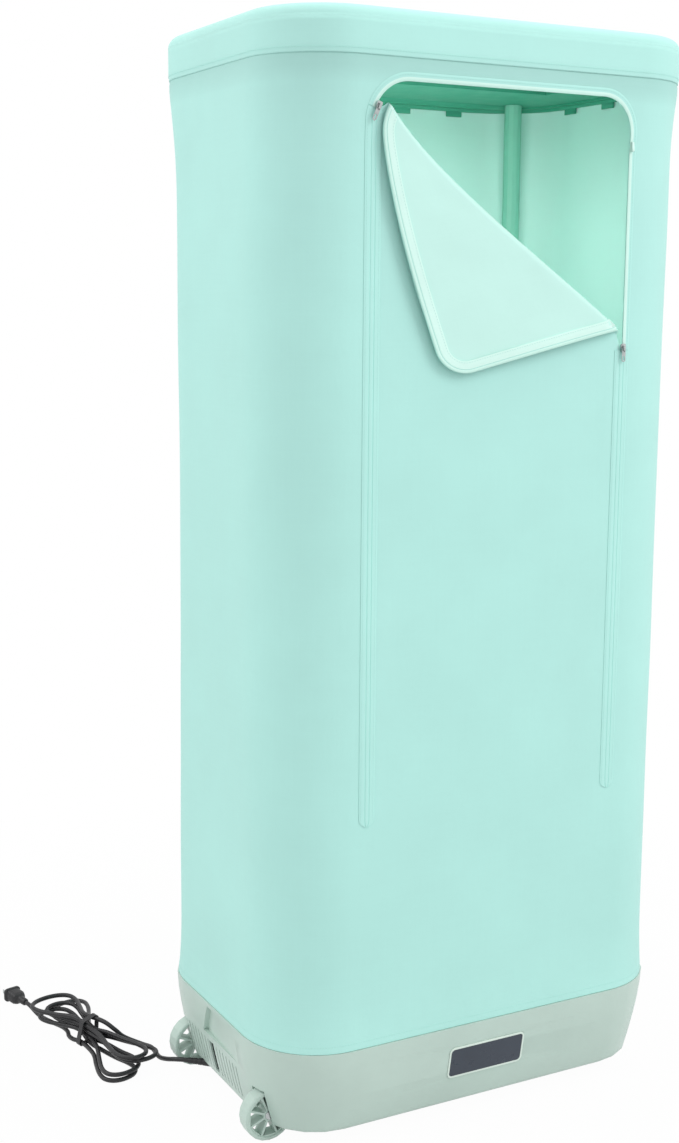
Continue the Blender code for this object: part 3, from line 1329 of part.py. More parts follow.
def cover_back():
    half = HALF_FLAT - GAP / 2
    rows = [[(half, cover_front_y(z), z), (-half, cover_front_y(z), z)] for z in cover_levels()]
    return finish(solid_sheet("cover_back", rows, FABRIC), cover_fabric())


def cover_top():
    return finish(lid_skin("cover_top", 0, FABRIC), cover_fabric())


def cover_hem():
    """The hem inside the cover's foot, which holds it inside the rim of the base."""
    low = SEAM - HEM_BELOW
    tucked = hull_inset(low) + HULL_WALL + FIT
    rings = []
    for z in (low, SEAM, SEAM + HEM_ABOVE):
        inset = max(tucked, cover_insets(z)[0] + FABRIC + GAP)
        rings.append(hull_ring(inset, z))
    for z in (SEAM + HEM_ABOVE, SEAM, low):
        inset = max(tucked, cover_insets(z)[0] + FABRIC + GAP) + HEM_THICKNESS
        rings.append(hull_ring(inset, z))
    rings.append(rings[0])
    hem = loft("cover_hem", rings, closed_ends=False)
    shape = bmesh.new()
    shape.from_mesh(hem.data)
    bmesh.ops.remove_doubles(shape, verts=shape.verts, dist=GAP / 10)
    bmesh.ops.recalc_face_normals(shape, faces=shape.faces)
    shape.to_mesh(hem.data)
    shape.free()
    return finish(hem, cover_fabric())


# Flat pieces cut out and laid on the cover's front

def lay_on_front(x, z, out):
    return (x, -(cover_front_y(z) + out), z)


def sliced(item, cuts):
    """Cut a mesh through along planes, each given by a point and a normal, so that it can bend there."""
    shape = bmesh.new()
    shape.from_mesh(item.data)
    for point, normal in cuts:
        geometry = shape.verts[:] + shape.edges[:] + shape.faces[:]
        bmesh.ops.bisect_plane(shape, geom=geometry, plane_co=point, plane_no=normal, dist=GAP / 10)
    shape.to_mesh(item.data)
    shape.free()
    return item


def laid(item, place):
    """Carry each point of a flat blank (across, up, out) to its place on the front."""
    for vertex in item.data.vertices:
        vertex.co = place(vertex.co.x, vertex.co.y, vertex.co.z)
    shape = bmesh.new()
    shape.from_mesh(item.data)
    bmesh.ops.recalc_face_normals(shape, faces=shape.faces)
    shape.to_mesh(item.data)
    shape.free()
    return item


def fabric_blank(name, outline, holes=()):
    """A flat piece of fabric, its outer face at zero and its inner face below it."""
    return moved(plate(name, outline, FABRIC, holes), Matrix.Translation((0, 0, -FABRIC / 2)))


def door_outline(border, bottom):
    """The door's outline, widened by a border: straight sides and two round top corners."""
    half = DOOR_HALF + border
    radius = DOOR_CORNER + border
    points = [(-half, bottom), (half, bottom)]
    for side, start in ((1, 0), (-1, pi / 2)):
        for step in range(CORNER_STEPS + 1):
            angle = start + step / CORNER_STEPS * pi / 2
            points.append((side * (half - radius) + radius * cos(angle), DOOR_TOP - DOOR_CORNER + radius * sin(angle)))
    return points


def level_cuts():
    return [((0, z, 0), (0, 1, 0)) for z in cover_levels()[1:-1]]


def cover_front():
    half = HALF_FLAT - GAP / 2
    outline = [(-half, COVER_BOTTOM), (half, COVER_BOTTOM), (half, COVER_TOP), (-half, COVER_TOP)]
    blank = fabric_blank("cover_front", outline, [door_outline(DOOR_SLIT / 2, DOOR_BOTTOM - GAP / 2)])
    return finish(laid(sliced(blank, level_cuts()), lay_on_front), cover_fabric())


# The door with its corner folded down

def fold_line():
    """Start, direction and length of the line that the door is folded along, from left to right."""
    radius = DOOR_CORNER - DOOR_SLIT / 2
    start = Vector((DOOR_CORNER - DOOR_HALF + radius * cos(FOLD_START_ANGLE),
                    DOOR_TOP - DOOR_CORNER + radius * sin(FOLD_START_ANGLE)))
    run = Vector((DOOR_HALF - DOOR_SLIT / 2, FOLD_END_Z)) - start
    return start, run.normalized(), run.length


def fold_door(x, z, out):
    """Roll what lies above the fold line outwards and down over the front of the door."""
    start, along, length = fold_line()
    up = Vector((-along.y, along.x))
    offset = Vector((x, z)) - start
    run, rise = offset.dot(along), offset.dot(up)
    share = max(0, min(1, run / length))
    sag = FOLD_SAG * sin(pi * share ** FOLD_SKEW_SHARE)
    radius = FOLD_END_RADIUS + (FOLD_RADIUS - FOLD_END_RADIUS) * sqrt(4 * share * (1 - share))
    past = rise + sag
    draw = max(0, min(1, past / FOLD_DRAW_LEAD + 1))
    run += (1 - 2 * share) * FOLD_DRAW * draw * draw * (3 - 2 * draw)
    lift = out
    if past > pi * radius:
        reach = (past - pi * radius) * FLAP_REACH_SHARE
        rise = -sag - reach
        lean = FLAP_LEAN_SHARE * min(1, reach / FLAP_LEAN_RUN)
        lift = 2 * radius * (1 - lean) - out
    elif past > 0:
        rise = (radius - out) * sin(past / radius) - sag
        lift = radius - (radius - out) * cos(past / radius)
    place = start + along * run + up * rise
    return lay_on_front(place.x, place.y, lift)


def fold_cuts():
    """Cuts along the roll of the fold, and across it where its radius changes."""
    start, along, length = fold_line()
    up = Vector((-along.y, along.x))
    low = -FOLD_SAG - FOLD_DRAW_LEAD
    high = pi * FOLD_RADIUS
    cuts = []
    for k in range(FOLD_ROWS + 1):
        point = start + up * (low + (high - low) * k / FOLD_ROWS)
        cuts.append(((point.x, point.y, 0), (up.x, up.y, 0)))
    for k in range(1, FOLD_COLUMNS):
        point = start + along * (length * k / FOLD_COLUMNS)
        cuts.append(((point.x, point.y, 0), (along.x, along.y, 0)))
    return cuts


def door_flap():
    blank = fabric_blank("door_flap", door_outline(-DOOR_SLIT / 2, DOOR_BOTTOM + GAP / 2))
    return finish(laid(sliced(blank, level_cuts() + fold_cuts()), fold_door), cover_fabric())


# The zip's tapes

ARC_STEPS = 6
END_STEPS = 4
DOOR_TAPE_START_ANGLE = radians(104)
DOOR_TAPE_END = 0.042
TAPE_STEP = 0.045


def track_arc(side, first, last, steps=ARC_STEPS):
    """Stations round a top corner of the zip's track: place, direction outwards and width share."""
    stations = []
    for step in range(steps + 1):
        angle = first + (last - first) * step / steps
        stations.append((side * (DOOR_HALF - DOOR_CORNER) + DOOR_CORNER * cos(angle),
                         DOOR_TOP - DOOR_CORNER + DOOR_CORNER * sin(angle), angle, 1))
    return stations


def track_side(side, heights):
    return [(side * DOOR_HALF, z, 0 if side > 0 else pi, 1) for z in heights]


def track_top():
    half = DOOR_HALF - DOOR_CORNER
    steps = int(2 * half / TAPE_STEP)
    return [(half * (2 * k / steps - 1), DOOR_TOP, pi / 2, 1) for k in range(1, steps)]


def side_heights(low, high):
    """Heights along a straight side, at an even pitch."""
    steps = max(1, int((high - low) / TAPE_STEP))
    return [low + (high - low) * k / steps for k in range(steps + 1)]


def swept(name, stations, profile, place):
    """Carry a section of (across, out) points along stations of the track."""
    rings = []
    for x, z, angle, width in stations:
        rings.append([place(x + across * width * cos(angle), z + across * width * sin(angle), out)
                      for across, out in profile])
    return loft(name, rings)


def band_profile():
    """Section of a closed stretch of zip: a band with a groove along its middle."""
    low, top = GAP, GAP + TAPE_THICKNESS
    groove = top - TAPE_GROOVE_DEPTH
    return [(-TAPE_HALF, low), (TAPE_HALF, low), (TAPE_HALF, top), (TAPE_GROOVE_HALF, top),
            (TAPE_GROOVE_HALF / 2, groove), (-TAPE_GROOVE_HALF / 2, groove), (-TAPE_GROOVE_HALF, top),
            (-TAPE_HALF, top)]


def zip_band(name, side, top):
    """A closed stretch of zip up one side of the door, with a round lower end."""
    stations = []
    for step in range(END_STEPS, 0, -1):
        angle = step / (END_STEPS + 1 / 2) * pi / 2
        x, z, out_angle, width = track_side(side, [DOOR_BOTTOM - TAPE_HALF * sin(angle)])[0]
        stations.append((x, z, out_angle, cos(angle)))
    corner = DOOR_TOP - DOOR_CORNER
    if top < corner:
        stations += track_side(side, [DOOR_BOTTOM, top])
    else:
        flare = [z for z in cover_levels() if corner - TOP_FLARE < z < corner]
        stations += track_side(side, [DOOR_BOTTOM, *flare])
        stations += track_arc(side, pi, LEFT_TAPE_ANGLE, ARC_STEPS // 3)
    return finish(swept(name, stations, band_profile(), lay_on_front), zip_tape())


def strip_profile(inner, outer, low, high):
    return [(inner, low), (outer, low), (outer, high), (inner, high)]


def zip_frame_tape():
    """The tape on the frame's side of the open stretch, from one slider over the top to the other."""
    stations = track_arc(-1, LEFT_TAPE_ANGLE - 2 * GAP / DOOR_CORNER, pi / 2) + track_top()
    stations += track_arc(1, pi / 2, 0)
    heights = side_heights(RIGHT_TAPE_TOP + 2 * GAP, DOOR_TOP - DOOR_CORNER)
    stations += track_side(1, heights[-2::-1])
    profile = strip_profile(DOOR_SLIT / 2, TAPE_HALF, GAP, GAP + TAPE_THICKNESS)
    return finish(swept("zip_frame_tape", stations, profile, lay_on_front), zip_tape())


def zip_door_tape():
    """The tape on the inner face of the folded corner, which is turned to the front."""
    stations = track_arc(-1, DOOR_TAPE_START_ANGLE, pi / 2, ARC_STEPS // 3) + track_top()
    stations += track_arc(1, pi / 2, 0)
    heights = side_heights(FOLD_END_Z + DOOR_TAPE_END, DOOR_TOP - DOOR_CORNER)
    stations += track_side(1, heights[-2::-1])
    edge = -DOOR_SLIT / 2 - DOOR_TAPE_INSET
    low = -FABRIC - GAP - DOOR_TAPE_THICKNESS
    profile = strip_profile(edge - DOOR_TAPE_WIDTH, edge, low, -FABRIC - GAP)
    return finish(swept("zip_door_tape", stations, profile, fold_door), zip_tape())


# The zip's sliders, their pulls and the loop beside the opening

SLIDER_SEAT = 2 * GAP + TAPE_THICKNESS
SLIDER_TOP = SLIDER_SEAT + SLIDER_THICKNESS
PULL_PIN_HALF = PULL_EYE_WALL / 2
PULL_HEIGHT = SLIDER_TOP + PULL_THICKNESS
SLIDER_NOSE_SHARE = 0.72
SLIDER_CORNER = 0.0012
BRIDGE_HALF_LENGTH = 0.0035
PULL_EYE_LENGTH = 0.0056
PULL_CORNER = 0.0018
PULL_GRIP_HALF = 0.0012
PULL_GRIP_LENGTH = 0.006


def left_slider_slope():
    """Slope of the front between the foot and the top of the corner that the left slider rounds."""
    low = DOOR_TOP - DOOR_CORNER
    return (cover_front_y(DOOR_TOP) - cover_front_y(low)) / DOOR_CORNER


def left_corner_place():
    """Matrix at the middle of the left corner's arc: X along the front, Y up it, Z out of it."""
    low = DOOR_TOP - DOOR_CORNER
    tilt = atan2(left_slider_slope(), 1)
    place = Matrix.Translation((DOOR_CORNER - DOOR_HALF, -cover_front_y(low), low))
    return place @ Matrix.Rotation(pi / 2 + tilt, 4, "X")


def slider_place(side):
    """Matrix of a slider: Y up the track towards the open stretch, Z out of the front."""
    if side > 0:
        place = Matrix.Translation((DOOR_HALF, -cover_front_y(RIGHT_SLIDER_Z), RIGHT_SLIDER_Z))
        return place @ Matrix.Rotation(pi / 2, 4, "X")
    seat = Matrix.Translation((DOOR_CORNER * cos(LEFT_SLIDER_ANGLE), DOOR_CORNER * sin(LEFT_SLIDER_ANGLE), 0))
    return left_corner_place() @ seat @ Matrix.Rotation(LEFT_SLIDER_ANGLE - pi, 4, "Z")


def zip_slider(name, side):
    """A slider body, narrower at its closed end, with a bridge for the pull."""
    half = SLIDER_LENGTH / 2
    nose = SLIDER_HALF_WIDTH * SLIDER_NOSE_SHARE
    outline = [(-nose + SLIDER_CORNER, -half), (nose - SLIDER_CORNER, -half), (nose, SLIDER_CORNER - half),
               (SLIDER_HALF_WIDTH, half - 2 * SLIDER_CORNER), (SLIDER_HALF_WIDTH - SLIDER_CORNER, half),
               (SLIDER_CORNER - SLIDER_HALF_WIDTH, half), (-SLIDER_HALF_WIDTH, half - 2 * SLIDER_CORNER),
               (-nose, SLIDER_CORNER - half)]
    body = level_plate(name, outline, SLIDER_SEAT, SLIDER_TOP)
    bridge = box("bridge", (-SLIDER_BRIDGE_HALF, -BRIDGE_HALF_LENGTH, SLIDER_TOP - SLIDER_CORNER),
                 (SLIDER_BRIDGE_HALF, BRIDGE_HALF_LENGTH, SLIDER_TOP + SLIDER_BRIDGE_HEIGHT))
    room_half = BRIDGE_HALF_LENGTH - SLIDER_BRIDGE_WALL
    room = box("bridge_room", (-SLIDER_HALF_WIDTH, -room_half, SLIDER_TOP),
               (SLIDER_HALF_WIDTH, room_half, SLIDER_TOP + SLIDER_BRIDGE_HEIGHT - SLIDER_BRIDGE_WALL))
    body = moved(worked(body, cuts=[room], joins=[bridge]), slider_place(side))
    return turn_about(slider_place(side).translation, finish(body, steel()))


def zip_pull(name, side):
    """A pull tab: its eye goes round the bridge, and the eye's upper bar is the pin it turns on."""
    pin = PULL_PIN_HALF
    half = PULL_HALF_WIDTH
    eye_half = SLIDER_BRIDGE_HALF + FIT
    outline = [(-half, pin), (-half, PULL_CORNER - PULL_LENGTH), (PULL_CORNER - half, -PULL_LENGTH),
               (half - PULL_CORNER, -PULL_LENGTH), (half, PULL_CORNER - PULL_LENGTH), (half, pin)]
    eye = [(-eye_half, -pin), (-eye_half, -PULL_EYE_LENGTH), (eye_half, -PULL_EYE_LENGTH), (eye_half, -pin)]
    grip_top = PULL_GRIP_LENGTH - PULL_LENGTH + PULL_CORNER
    grip = [(-PULL_GRIP_HALF, grip_top), (-PULL_GRIP_HALF, PULL_CORNER - PULL_LENGTH),
            (PULL_GRIP_HALF, PULL_CORNER - PULL_LENGTH), (PULL_GRIP_HALF, grip_top)]
    tab = plate(name, outline, PULL_THICKNESS, [eye, grip])
    place = slider_place(side) @ Matrix.Translation((0, 0, PULL_HEIGHT))
    return turn_about(place.translation, finish(moved(tab, place), steel()))


def loop_tab():
    """A small fabric loop on the frame's tape, beside the opening."""
    outer = [(TAB_LOOP_RADIUS * cos(angle), TAB_LOOP_RADIUS * sin(angle) - TAB_LOOP_LENGTH / 2)
             for angle in [pi + k * pi / ARC_STEPS for k in range(ARC_STEPS + 1)]]
    outer += [(FABRIC, TAB_LOOP_LENGTH / 2), (-FABRIC, TAB_LOOP_LENGTH / 2)]
    inner_radius = TAB_LOOP_RADIUS - FABRIC / 2
    inner = [(inner_radius * cos(angle), inner_radius * sin(angle) - TAB_LOOP_LENGTH / 2)
             for angle in [pi + k * pi / ARC_STEPS for k in range(ARC_STEPS + 1)]]
    inner += [(FABRIC / 2, TAB_LOOP_LENGTH / 4), (-FABRIC / 2, TAB_LOOP_LENGTH / 4)]
    strip = plate("loop_tab", outer, TAB_LOOP_WIDTH, [inner])
    axes = Matrix(((0, 0, 1, 0), (1, 0, 0, 0), (0, 1, 0, 0), (0, 0, 0, 1)))
    out = SLIDER_SEAT + TAB_LOOP_RADIUS
    place = Matrix.Translation((DOOR_HALF + TAPE_HALF / 2, -cover_front_y(TAB_Z) - out, TAB_Z)) @ axes
    return finish(moved(strip, place), cover_fabric())


# The mains cord: from the gland to the hank, the hank, and on to the plug

LOBE_POINTS = 12
CURVE_STEPS = 8
CORD_DIAMETER = 2 * CORD_RADIUS


def eased(share):
    """A share that runs from 0 to 1 with level ends."""
    held = max(0, min(1, share))
    return held * held * (3 - 2 * held)


def hank_point(across, along, z):
    """A point at distances across and along the hank from the middle of its waist."""
    axis = Vector(HANK_AXIS).normalized()
    place = Vector(HANK_MIDDLE) + Vector((axis.y, -axis.x)) * across + axis * along
    return (place.x, place.y, z)


def hank_loop(turn, end):
    """Points of one loop of the hank, out to its far (1) or near (-1) end and back to the waist.

    The loops lie in layers, the first on top. At the waist each steps down a layer as it comes back
    from its near end, all but the last one, which turns the other way and leaves beside the rest.
    """
    length, bulge, fan, droop = (HANK_FAR if end > 0 else HANK_NEAR)[turn]
    layer = len(HANK_FAR) - 1 - turn
    last = end < 0 and layer == 0
    side = 1 if end > 0 or last else -1
    points = []
    for k in range(LOBE_POINTS):
        angle = k / LOBE_POINTS * pi
        reach = length * sin(angle)
        across = side * cos(angle) * (HANK_COLUMN + bulge * sin(angle) ** 2)
        across += tan(fan) * reach * eased(reach / HANK_FAN_RUN) - (2 * HANK_COLUMN if last else 0)
        stepped = eased((end * reach + HANK_STEP_RUN) / (2 * HANK_STEP_RUN))
        level = layer
        if end > 0 and angle < pi / 2:
            level += 1 - stepped
        elif end < 0 and angle > pi / 2 and not last:
            level -= stepped
        if end > 0:
            level += eased((reach - HANK_LIFT_START) / HANK_LIFT_RUN)
        settled = (HANK_WAIST_Z - CORD_Z) * eased((reach - HANK_SETTLE_START) / HANK_SETTLE_RUN)
        settled += droop * eased((reach / length - HANK_DROOP_SHARE) / (1 - HANK_DROOP_SHARE))
        points.append(hank_point(across, end * reach, HANK_WAIST_Z + level * HANK_LAYER - settled))
    return points


def smooth_curve(points):
    """A close row of points on a smooth curve through the given ones."""
    knots = [Vector(point) for point in points]
    knots = [2 * knots[0] - knots[1], *knots, 2 * knots[-1] - knots[-2]]
    curve = []
    for a, b, c, d in zip(knots, knots[1:], knots[2:], knots[3:]):
        for step in range(CURVE_STEPS):
            t = step / CURVE_STEPS
            curve.append((2 * b + (c - a) * t + (2 * a - 5 * b + 4 * c - d) * t ** 2
                          + (3 * b - a - 3 * c + d) * t ** 3) / 2)
    return curve + [knots[-2]]


def cord_route():
    """The whole cord's middle line, from the gland to the plug."""
    route = [(x - HALF_WIDTH, y, z) for x, y, z in LEAD_ROUTE]
    for turn in range(len(HANK_FAR)):
        far = hank_loop(turn, 1)
        route += far[1:] if turn == 0 else far
        route += hank_loop(turn, -1)
    return smooth_curve(route + [hank_point(*place) for place in TAIL_ROUTE])


def along_route(route):
    """Distance of each point of a route from its start."""
    distances = [0]
    for one, two in zip(route, route[1:]):
        distances.append(distances[-1] + (two - one).length)
    return distances


def point_at(route, distances, where):
    """The point of a route at a distance from its start."""
    k = min(max(bisect_right(distances, where), 1), len(route) - 1)
    share = (where - distances[k - 1]) / (distances[k] - distances[k - 1])
    return route[k - 1].lerp(route[k], share)


def cord_end(route, distances, where, sign):
    """Two points that end a stretch of the cord, square across it and one diameter apart."""
    before, after = [point_at(route, distances, where + reach) for reach in (-CORD_DIAMETER, CORD_DIAMETER)]
    heading = (after - before).normalized() * sign
    head = point_at(route, distances, where) + heading * GAP / 2
    return [head, head + heading * CORD_DIAMETER]


def stretch(route, distances, start, end, pitch):
    """Points of a stretch of the cord; its ends run straight for one diameter."""
    inner = end - start - 2 * CORD_DIAMETER
    count = round(inner / pitch)
    middle = [point_at(route, distances, start + CORD_DIAMETER + inner * k / count) for k in range(1, count)]
    return cord_end(route, distances, start, 1) + middle + cord_end(route, distances, end, -1)[::-1]


def cord_tube(name, points, fineness):
    """An unbroken round tube along a row of points."""
    curve = bpy.data.curves.new(name, "CURVE")
    curve.dimensions = "3D"
    curve.bevel_depth = CORD_RADIUS
    curve.bevel_resolution = fineness
    curve.use_fill_caps = True
    spline = curve.splines.new("POLY")
    spline.points.add(len(points) - 1)
    for knot, point in zip(spline.points, points):
        knot.co = (*point, 1)
    item = bpy.data.objects.new(name, curve)
    CUTTERS.objects.link(item)
    return finish(settle(item), cord_rubber())


def least_gap(points):
    """The least gap between stretches of the cord that lie apart along it."""
    distances = along_route(points)
    count = int(distances[-1] / (CORD_RADIUS / 2))
    row = np.array([point_at(points, distances, distances[-1] * k / count) for k in range(count)])
    apart = round(HANK_APART / (distances[-1] / count))
    nearest = min(np.linalg.norm(row[k:] - row[:count - k], axis=1).min() for k in range(apart, count))
    return nearest - CORD_DIAMETER


def cord_stretches():
    """Points of the cord's three pieces: from the gland to the hank, the hank, and on to the plug."""
    route = cord_route()
    distances = along_route(route)
    lead_end = distances[HANK_FIRST_POINT * CURVE_STEPS]
    tail_start = distances[-1 - (len(TAIL_ROUTE) - HANK_TAIL_POINTS) * CURVE_STEPS]
    return (stretch(route, distances, 0, lead_end, LEAD_PITCH),
            stretch(route, distances, lead_end, tail_start, HANK_PITCH),
            stretch(route, distances, tail_start, distances[-1], LEAD_PITCH))


def cords():
    lead, hank, tail = cord_stretches()
    cord_tube("cord_lead", lead, 2)
    cord_tube("cord_hank", hank, 1)
    cord_tube("cord_tail", tail, 2)
    whole = lead + hank + tail
    print(f"cord {along_route(whole)[-1]:.2f} m long, least gap to itself {least_gap(whole) * 1000:.2f} mm")


def taut_outline(centres, margin):
    """The outline of a strap drawn tight round cords that cross a plane at the given places."""
    points = set()
    for x, y in centres:
        for k in range(SMALL_SIDES):
            angle = 2 * pi * k / SMALL_SIDES
            points.add((x + margin * cos(angle), y + margin * sin(angle)))
    outline = []
    for way in (1, -1):
        chain = []
        for point in sorted(points)[::way]:
            while len(chain) > 1 and turns_right(chain[-2], chain[-1], point):
                chain.pop()
            chain.append(point)
        outline += chain[:-1]
    return outline


def turns_right(one, two, three):
    """Whether a path through three places turns right, or goes hardly any way before it turns."""
    turn = (two[0] - one[0]) * (three[1] - one[1]) - (two[1] - one[1]) * (three[0] - one[0])
    return turn <= 0


def tie_crossings():
    """Where the cord passes under the tie: across the hank and in height."""
    axis = Vector(HANK_AXIS).normalized()
    hank = cord_stretches()[1]
    distances = along_route(hank)
    places = []
    for k in range(int(distances[-1] / GAP / 4)):
        point = point_at(hank, distances, 4 * GAP * k)
        offset = point.xy - Vector(HANK_MIDDLE)
        if abs(offset.dot(axis) - TIE_ALONG) < TIE_WIDTH / 2 + CORD_RADIUS / 2:
            places.append((offset.x * axis.y - offset.y * axis.x, point.z))
    return places


def cord_tie():
    """The strap drawn tight round the hank's waist."""
    crossings = tie_crossings()
    margin = (CORD_RADIUS + TIE_SPACE) / cos(pi / SMALL_SIDES)
    band = plate("cord_tie", taut_outline(crossings, margin + TIE_WALL), TIE_WIDTH, [taut_outline(crossings, margin)])
    axis = Vector(HANK_AXIS).normalized()
    axes = Matrix(((axis.y, 0, -axis.x, 0), (-axis.x, 0, -axis.y, 0), (0, 1, 0, 0), (0, 0, 0, 1)))
    middle = Vector(HANK_MIDDLE) + axis * TIE_ALONG
    return finish(moved(band, Matrix.Translation((*middle, 0)) @ axes), dark_plastic())


def plug_place():
    """Matrix of the plug: Z along its axis from the end of the cord, Y up."""
    route = cord_route()
    axis = Vector(HANK_AXIS).normalized()
    axes = Matrix(((-axis.y, 0, axis.x, 0), (axis.x, 0, axis.y, 0), (0, 1, 0, 0), (0, 0, 0, 1)))
    return Matrix.Translation(route[-1] + Vector((axis.x, axis.y, 0)) * GAP) @ axes


def plug_body():
    """The plug: a tapering sleeve, a body and a wider flange at its face."""
    rings = []
    for width, height, corner, along in PLUG_SHARES:
        outline = rounded_rectangle(PLUG_HALF_WIDTH * width, PLUG_HALF_HEIGHT * height, PLUG_CORNER * corner,
                                    PLUG_CORNER_STEPS)
        rings.append([(x, y, PLUG_FACE * along) for x, y in outline])
    body = moved(loft("plug_body", rings), plug_place())
    bores = []
    for side in (-1, 1):
        x = side * BLADE_PITCH / 2
        bore = box("blade_slot", (x - BLADE_THICK / 2 - GAP, -BLADE_WIDTH / 2 - GAP, PLUG_FACE - BLADE_SINK - GAP),
                   (x + BLADE_THICK / 2 + GAP, BLADE_WIDTH / 2 + GAP, PLUG_FACE + OVERRUN))
        bores.append(moved(bore, plug_place()))
    return finish(worked(body, cuts=bores), dark_plastic())


def plug_blade(name, side):
    x = side * BLADE_PITCH / 2
    blade = box(name, (x - BLADE_THICK / 2, -BLADE_WIDTH / 2, PLUG_FACE - BLADE_SINK),
                (x + BLADE_THICK / 2, BLADE_WIDTH / 2, PLUG_FACE + BLADE_LENGTH))
    return finish(moved(blade, plug_place()), steel())


# The whole dryer

def main():
    base_tub()
    for side, name in ((-1, "front"), (1, "rear")):
        wheel(f"wheel_{name}", side)
        axle(f"axle_{name}", side)
        foot(f"foot_{name}", side)
    base_deck()
    outlet_grille()
    heater_frame()
    ptc_heater()
    fan_housing()
    fan_motor()
    fan_impeller()
    display_bezel()
    display_glass()
    control_board()
    power_board()
    intake_filter()
    cord_gland()
    posts()
    lid_shell()
    ceiling_panel()
    hanging_rail()
    cover_side("cover_left", -1)
    cover_side("cover_right", 1)
    cover_back()
    cover_top()
    cover_hem()
    cover_front()
    door_flap()
    zip_band("zip_left", -1, DOOR_TOP)
    zip_band("zip_right", 1, RIGHT_TAPE_TOP)
    zip_frame_tape()
    zip_door_tape()
    for side, name in ((-1, "left"), (1, "right")):
        zip_slider(f"zip_slider_{name}", side)
        zip_pull(f"zip_pull_{name}", side)
        plug_blade(f"plug_blade_{name}", side)
    loop_tab()
    cords()
    cord_tie()
    plug_body()


clear_scene()
PARTS = make_collection("clothes_dryer")
CUTTERS = make_collection("cutters")
main()
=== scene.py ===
"""The looks of a portable wardrobe clothes dryer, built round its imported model.

The fabric pieces, the zips, the stitching and the cord are made here. The rigid pieces of the
model stay where they are and get their finishes. Lengths are in metres.
"""

from math import cos, exp, pi, radians, sin, sqrt

import bmesh
import bpy
from bpy.props import FloatProperty, FloatVectorProperty, IntProperty, PointerProperty
from mathutils import Matrix, Vector, noise
from mathutils.geometry import delaunay_2d_cdt


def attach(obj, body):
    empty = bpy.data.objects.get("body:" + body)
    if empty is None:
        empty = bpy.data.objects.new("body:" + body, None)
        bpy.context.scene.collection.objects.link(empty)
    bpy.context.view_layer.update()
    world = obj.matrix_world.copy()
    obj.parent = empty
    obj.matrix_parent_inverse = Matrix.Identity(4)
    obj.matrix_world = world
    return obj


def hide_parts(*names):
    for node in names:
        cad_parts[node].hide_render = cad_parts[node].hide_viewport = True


bl_info = {
    "name": "Portable clothes dryer",
    "version": (1, 0, 0),
    "blender": (4, 5, 0),
    "location": "3D View > Sidebar > Dryer",
    "description": "Builds the fabric, zips, cord and finishes of a portable clothes dryer",
    "category": "Add Mesh",
}

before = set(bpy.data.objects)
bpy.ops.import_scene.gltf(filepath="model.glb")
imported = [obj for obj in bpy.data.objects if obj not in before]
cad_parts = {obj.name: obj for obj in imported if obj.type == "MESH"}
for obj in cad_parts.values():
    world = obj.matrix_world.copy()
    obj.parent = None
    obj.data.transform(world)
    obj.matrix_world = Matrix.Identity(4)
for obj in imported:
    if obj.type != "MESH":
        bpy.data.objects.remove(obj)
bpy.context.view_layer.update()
CABINET = "dryer"

# The cabinet's outline, as in the model
HALF_WIDTH = 0.335
HALF_DEPTH = 0.220
HALF_FLAT = 0.220
SEAM = 0.147
HEIGHT = 1.521
CREASE = 1.461
COVER_INSET = 0.006
SEAM_INSET = 0.0022
FOOT_FLARE = 0.090
TOP_FLARE = 0.120
LID_HALF_WIDTH = 0.3305
LID_HALF_DEPTH = 0.2265
LID_CORNER = LID_HALF_WIDTH - HALF_FLAT
LID_ROLL = 0.016
FABRIC = 0.0012

# The door, its zip and its fold, as in the model
DOOR_HALF = 0.200
DOOR_BOTTOM = 0.475
DOOR_TOP = 1.432
DOOR_CORNER = 0.048
DOOR_SLIT = 0.002
TAPE_HALF = 0.012
FOLD_START_ANGLE = radians(143)
FOLD_END_Z = 1.111
FOLD_SAG = 0.022
FOLD_SKEW_SHARE = 0.6
FOLD_RADIUS = 0.0075
FOLD_END_RADIUS = 0.0018
FOLD_DRAW = 0.011
FOLD_DRAW_LEAD = 0.016
FLAP_REACH_SHARE = 0.83
FLAP_LEAN_SHARE = 0.45
FLAP_LEAN_RUN = 0.180
LEFT_TAPE_ANGLE = radians(163)
RIGHT_TAPE_TOP = 1.095
DOOR_TAPE_START_ANGLE = radians(134)
DOOR_TAPE_END = 0.014
DOOR_TAPE_WIDTH = 0.019
DOOR_TAPE_EDGE = -DOOR_SLIT / 2 - 0.0005
DOOR_TAPE_FACE = -FABRIC - 0.0019
BAND_LOW = 0.0003
BAND_TOP = 0.0011
TAPE_GAP = 0.0006
LOOP_Z = DOOR_TOP - 0.061

# Stitches and teeth
STITCH_WIDTH = 0.0006
STITCH_HEIGHT = 0.0005
BAND_STITCH_ROW = 0.0092
FRAME_STITCH_ROW = 0.0088
DOOR_STITCH_ROW = 0.86 * DOOR_TAPE_WIDTH
TOOTH_LENGTH = 0.0011
TOOTH_WIDTH = 0.0030
TOOTH_HEIGHT = 0.0010

# How far the loose cloth moves: swells and ripples, folds at its ends, tucks at the crease and at the rear
SWELL = 0.0016
RIPPLE = 0.0007
HEAD_FOLD = 0.0010
FOOT_FOLD = 0.0009
CREASE_TUCK = 0.0011
CREASE_DROP = 0.0014
REAR_DRAW = 0.0050
FLAP_WAVE = 0.0016
LID_PUFF = 0.0010
LID_DIP = 0.0012

CLOTH_MAP = "cut"
THREAD_WAVE = 0.314159
CEILING_SHARE = 0.9935


# Nodes and materials

